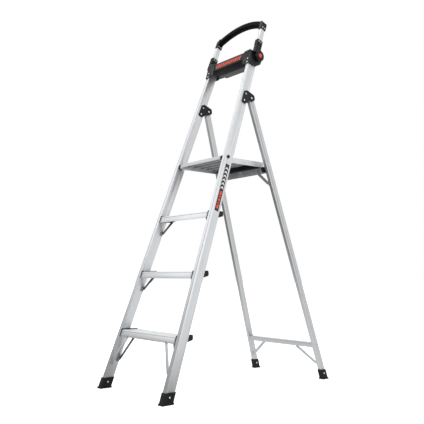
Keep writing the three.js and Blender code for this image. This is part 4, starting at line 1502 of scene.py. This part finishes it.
    def section(self, thick: float, depth: float) -> bpy.types.Object:
        """The grip's section with rounded corners, standing across the x axis.

        Args:
            thick: Its height, in metres.
            depth: Its width from front to back, in metres.

        Returns:
            The grip, which is only its section yet.
        """
        quarter = math.radians(90)
        bpy.ops.object.select_all(action="DESELECT")
        bpy.ops.mesh.primitive_plane_add(size=1.0, location=(0, 0, 0))
        grip = bpy.context.object
        grip.name = grip.data.name = "hand_grip_foam"
        grip.data.transform(Matrix.Diagonal((thick, depth, 1.0, 1.0)))
        grip.data.transform(Matrix.Rotation(quarter, 4, "X"))
        grip.data.transform(Matrix.Rotation(quarter, 4, "Z"))
        focus(grip)
        pick(grip, "VERT", lambda vertex: True)
        bpy.ops.mesh.bevel(offset=self.grip_corner * MM, segments=5, affect="VERTICES")
        done_editing()
        grip.data.transform(Matrix.Rotation(quarter, 4, "X"))
        return grip

    def rib(self, grip: bpy.types.Object, spread: float, steps: int) -> None:
        """Draws in every other ring, which leaves ribs."""
        angle = 2 * spread / steps

        def ring(vertex: bpy.types.MeshVertex) -> int:
            """Which ring of the sweep a vertex is on."""
            return round((math.atan2(vertex.co.x, vertex.co.z) + spread) / angle)

        pick(grip, "VERT", lambda vertex: ring(vertex) % 2 == 1)
        bpy.ops.transform.shrink_fatten(value=-self.rib_depth * MM)
        done_editing()

    def cut(self, grip: bpy.types.Object) -> None:
        """Cuts the grip's ends off inside the corners and closes them."""
        rails, (inside, height) = self.layout.rails, self.grip_cut
        focus(grip)
        bpy.ops.object.mode_set(mode="EDIT")
        for side in Side:
            bpy.ops.mesh.select_all(action="SELECT")
            out, along = self.corner_faces[0] - inside, self.layout.hub + height
            bpy.ops.mesh.bisect(
                plane_co=rails.point(side, out, 0, along),
                plane_no=rails.direction(side, -1, 0, 0),
                use_fill=True,
                clear_inner=True,
            )
        bpy.ops.mesh.select_all(action="SELECT")
        bpy.ops.mesh.remove_doubles(threshold=0.01 * MM)
        bpy.ops.mesh.normals_make_consistent(inside=False)
        done_editing()
        bpy.ops.object.shade_smooth_by_angle(angle=math.radians(50))


# ------------------------------------------------------------------ studio


@dataclass
class Studio:
    """Pale floor, soft lights and the camera."""

    camera_place: tuple[float, float, float] = (2.4229, -2.0522, 0.5510)
    look: tuple[float, float, float] = (-0.7653, 0.6356, 0.1018)
    lens: float = 51.72
    sensor: float = 36.0
    floor_size: float = 60.0
    floor_drop: float = 0.0005
    floor_glow: float = 0.5
    floor_span: tuple[float, float] = (-0.75, 0.2)  # y where the floor's brightness changes
    floor_light: tuple[float, float] = (0.18, 1.12)
    front_span: tuple[float, float] = (-0.02, 0.34)  # upward part of a direction
    front_light: tuple[float, float] = (0.2, 1.15)
    rear_span: tuple[float, float] = (0.08, 0.4)
    rear_light: tuple[float, float] = (1.38, 1.75)
    turn_span: tuple[float, float] = (-0.35, 0.15)  # backward part of a direction
    behind: tuple[tuple[float, float], ...] = ((0.1, 0.95), (0.72, 0.58), (0.84, 0.55), (0.96, 1.0))
    aim: tuple[float, float, float] = (0.0, 0.0, 0.9)
    boxes: tuple[tuple, ...] = (
        ("overhead_box", (0.0, -0.4, 4.4), (3.2, 3.2), 45.0),
        ("front_box", (-3.0, -3.0, 3.2), (3.0, 2.0), 14.0),
        ("right_strip", (4.3, 0.15, 0.9), (0.45, 2.8), 16.0),
    )

    def build(self) -> None:
        """Sets up everything that isn't the ladder."""
        bpy.context.scene.view_settings.view_transform = "Standard"
        self.floor()
        self.surround()
        self.lights()
        self.camera()

    @staticmethod
    def span(
        reach: tuple[float, float], values: tuple[float, float] = (0.0, 1.0), smooth: bool = False
    ) -> dict:
        """Settings of a change between two values over a reach."""
        names = ("From Min", "From Max", "To Min", "To Max")
        settings = dict(zip(names, (*reach, *values)))
        return settings | ({"interpolation_type": "SMOOTHSTEP"} if smooth else {})

    def floor(self) -> None:
        """Wide pale floor, which shows less bright in the ladder where it lies in front of it."""
        bpy.ops.object.select_all(action="DESELECT")
        bpy.ops.mesh.primitive_plane_add(size=self.floor_size, location=(0, 0, -self.floor_drop))
        floor = bpy.context.object
        floor.name = "studio_floor"
        made = bpy.data.materials.new("painted_studio_floor")
        made.use_nodes = True
        tree = made.node_tree
        tree.nodes.clear()
        place = add_node(tree, "TexCoord").outputs["Object"]
        slow = {"Scale": 2.0, "Detail": 2.0}
        mottle = add_node(tree, "TexNoise", slow, {"Vector": place}).outputs["Fac"]
        tones = {"stops": [(0.0, linear("#E9E9E9")), (1.0, linear("#EFEFEF"))]}
        tone = add_node(tree, "ValToRGB", tones, {"Fac": mottle}).outputs[0]
        matt = {"Roughness": 0.9, "Specular IOR Level": 0.1}
        shader = add_node(tree, "BsdfPrincipled", matt, {"Base Color": tone})
        glow = add_node(tree, "Emission", {"Strength": self.floor_glow})
        both = add_node(tree, "AddShader", links={0: shader.outputs[0], 1: glow.outputs[0]})
        back = add_node(tree, "SeparateXYZ", links={0: place}).outputs["Y"]
        fade = self.span(self.floor_span, self.floor_light, smooth=True)
        light = add_node(tree, "MapRange", fade, {"Value": back}).outputs[0]
        dim = add_node(tree, "Emission", links={"Strength": light})
        self.show(tree, dim, both, "OutputMaterial")
        floor.data.materials.append(made)

    def surround(self) -> None:
        """Even white behind and above, and a dimmer room low down in front."""
        world = bpy.data.worlds.new("studio_surround")
        bpy.context.scene.world = world
        world.use_nodes = True
        tree = world.node_tree
        tree.nodes.clear()
        way = add_node(
            tree, "SeparateXYZ", links={0: add_node(tree, "TexCoord").outputs["Generated"]}
        ).outputs

        def change(axis: str, settings: dict) -> bpy.types.NodeSocket:
            """A value that changes with one part of the direction."""
            return add_node(tree, "MapRange", settings, {"Value": way[axis]}).outputs[0]

        behind = change("Y", self.span(self.turn_span, smooth=True))
        front = change("Z", self.span(self.front_span, self.front_light))
        turn = change("X", self.span((-1.0, 1.0)))
        lift = change("Z", self.span(self.rear_span, self.rear_light))
        stops = [(place, (share, share, share, 1.0)) for place, share in self.behind]
        screens = add_node(tree, "ValToRGB", {"stops": stops}, {"Fac": turn}).outputs[0]
        product = {"operation": "MULTIPLY"}
        rear = add_node(tree, "Math", product, {0: screens, 1: lift}).outputs[0]
        links = {0: behind, 2: front, 3: rear}
        glow = add_node(tree, "Mix", {"data_type": "FLOAT"}, links).outputs[0]
        dim = add_node(tree, "Background", {"Color": (1, 1, 1, 1)}, {"Strength": glow})
        plain = add_node(tree, "Background", {"Color": (1, 1, 1, 1), "Strength": 1.0})
        self.show(tree, dim, plain, "OutputWorld")

    @staticmethod
    def show(
        tree: bpy.types.NodeTree, lit: bpy.types.Node, seen: bpy.types.Node, output: str
    ) -> None:
        """Lights the ladder with one shader and shows another one as the backdrop.

        Args:
            tree: The material's or world's node tree.
            lit: The shader that lights the ladder.
            seen: The shader of the backdrop itself.
            output: Type of the output node.
        """
        direct = add_node(tree, "LightPath").outputs["Is Camera Ray"]
        links = {0: direct, 1: lit.outputs[0], 2: seen.outputs[0]}
        mixed = add_node(tree, "MixShader", links=links)
        add_node(tree, output, links={"Surface": mixed.outputs[0]})

    def lights(self) -> None:
        """Large soft boxes overhead and front left, and a tall strip to the right."""
        for name, place, size, power in self.boxes:
            data = bpy.data.lights.new(name, "AREA")
            data.shape = "RECTANGLE"
            data.size, data.size_y, data.energy = *size, power
            light = bpy.data.objects.new(name, data)
            light.location = place
            light.visible_camera = False
            way = Vector(self.aim) - Vector(place)
            light.rotation_euler = way.to_track_quat("-Z", "Y").to_euler()
            bpy.context.scene.collection.objects.link(light)

    def camera(self) -> None:
        """Camera low to the right of the steps, looking slightly up."""
        data = bpy.data.cameras.new("camera")
        data.lens, data.sensor_width = self.lens, self.sensor
        camera = bpy.data.objects.new("camera", data)
        camera.location = self.camera_place
        camera.rotation_euler = Vector(self.look).to_track_quat("-Z", "Y").to_euler()
        bpy.context.scene.collection.objects.link(camera)
        bpy.context.scene.camera = camera


def main() -> None:
    """Builds the ladder's looks from the floor up, then the studio."""
    logging.basicConfig(level=logging.INFO, format="%(name)s: %(message)s")
    layout, gun = Layout(), RivetGun()
    for assembly in (
        Rails(layout, gun),
        Steps(layout, gun),
        Shoes(layout, gun),
        Hinges(layout, gun),
        RearFrame(layout, gun),
        Platform(gun),
        RailTops(layout, gun),
        HandRail(layout, gun),
    ):
        assembly.build()
    gun.put_away()
    Studio().build()


if __name__ == "__main__":
    main()
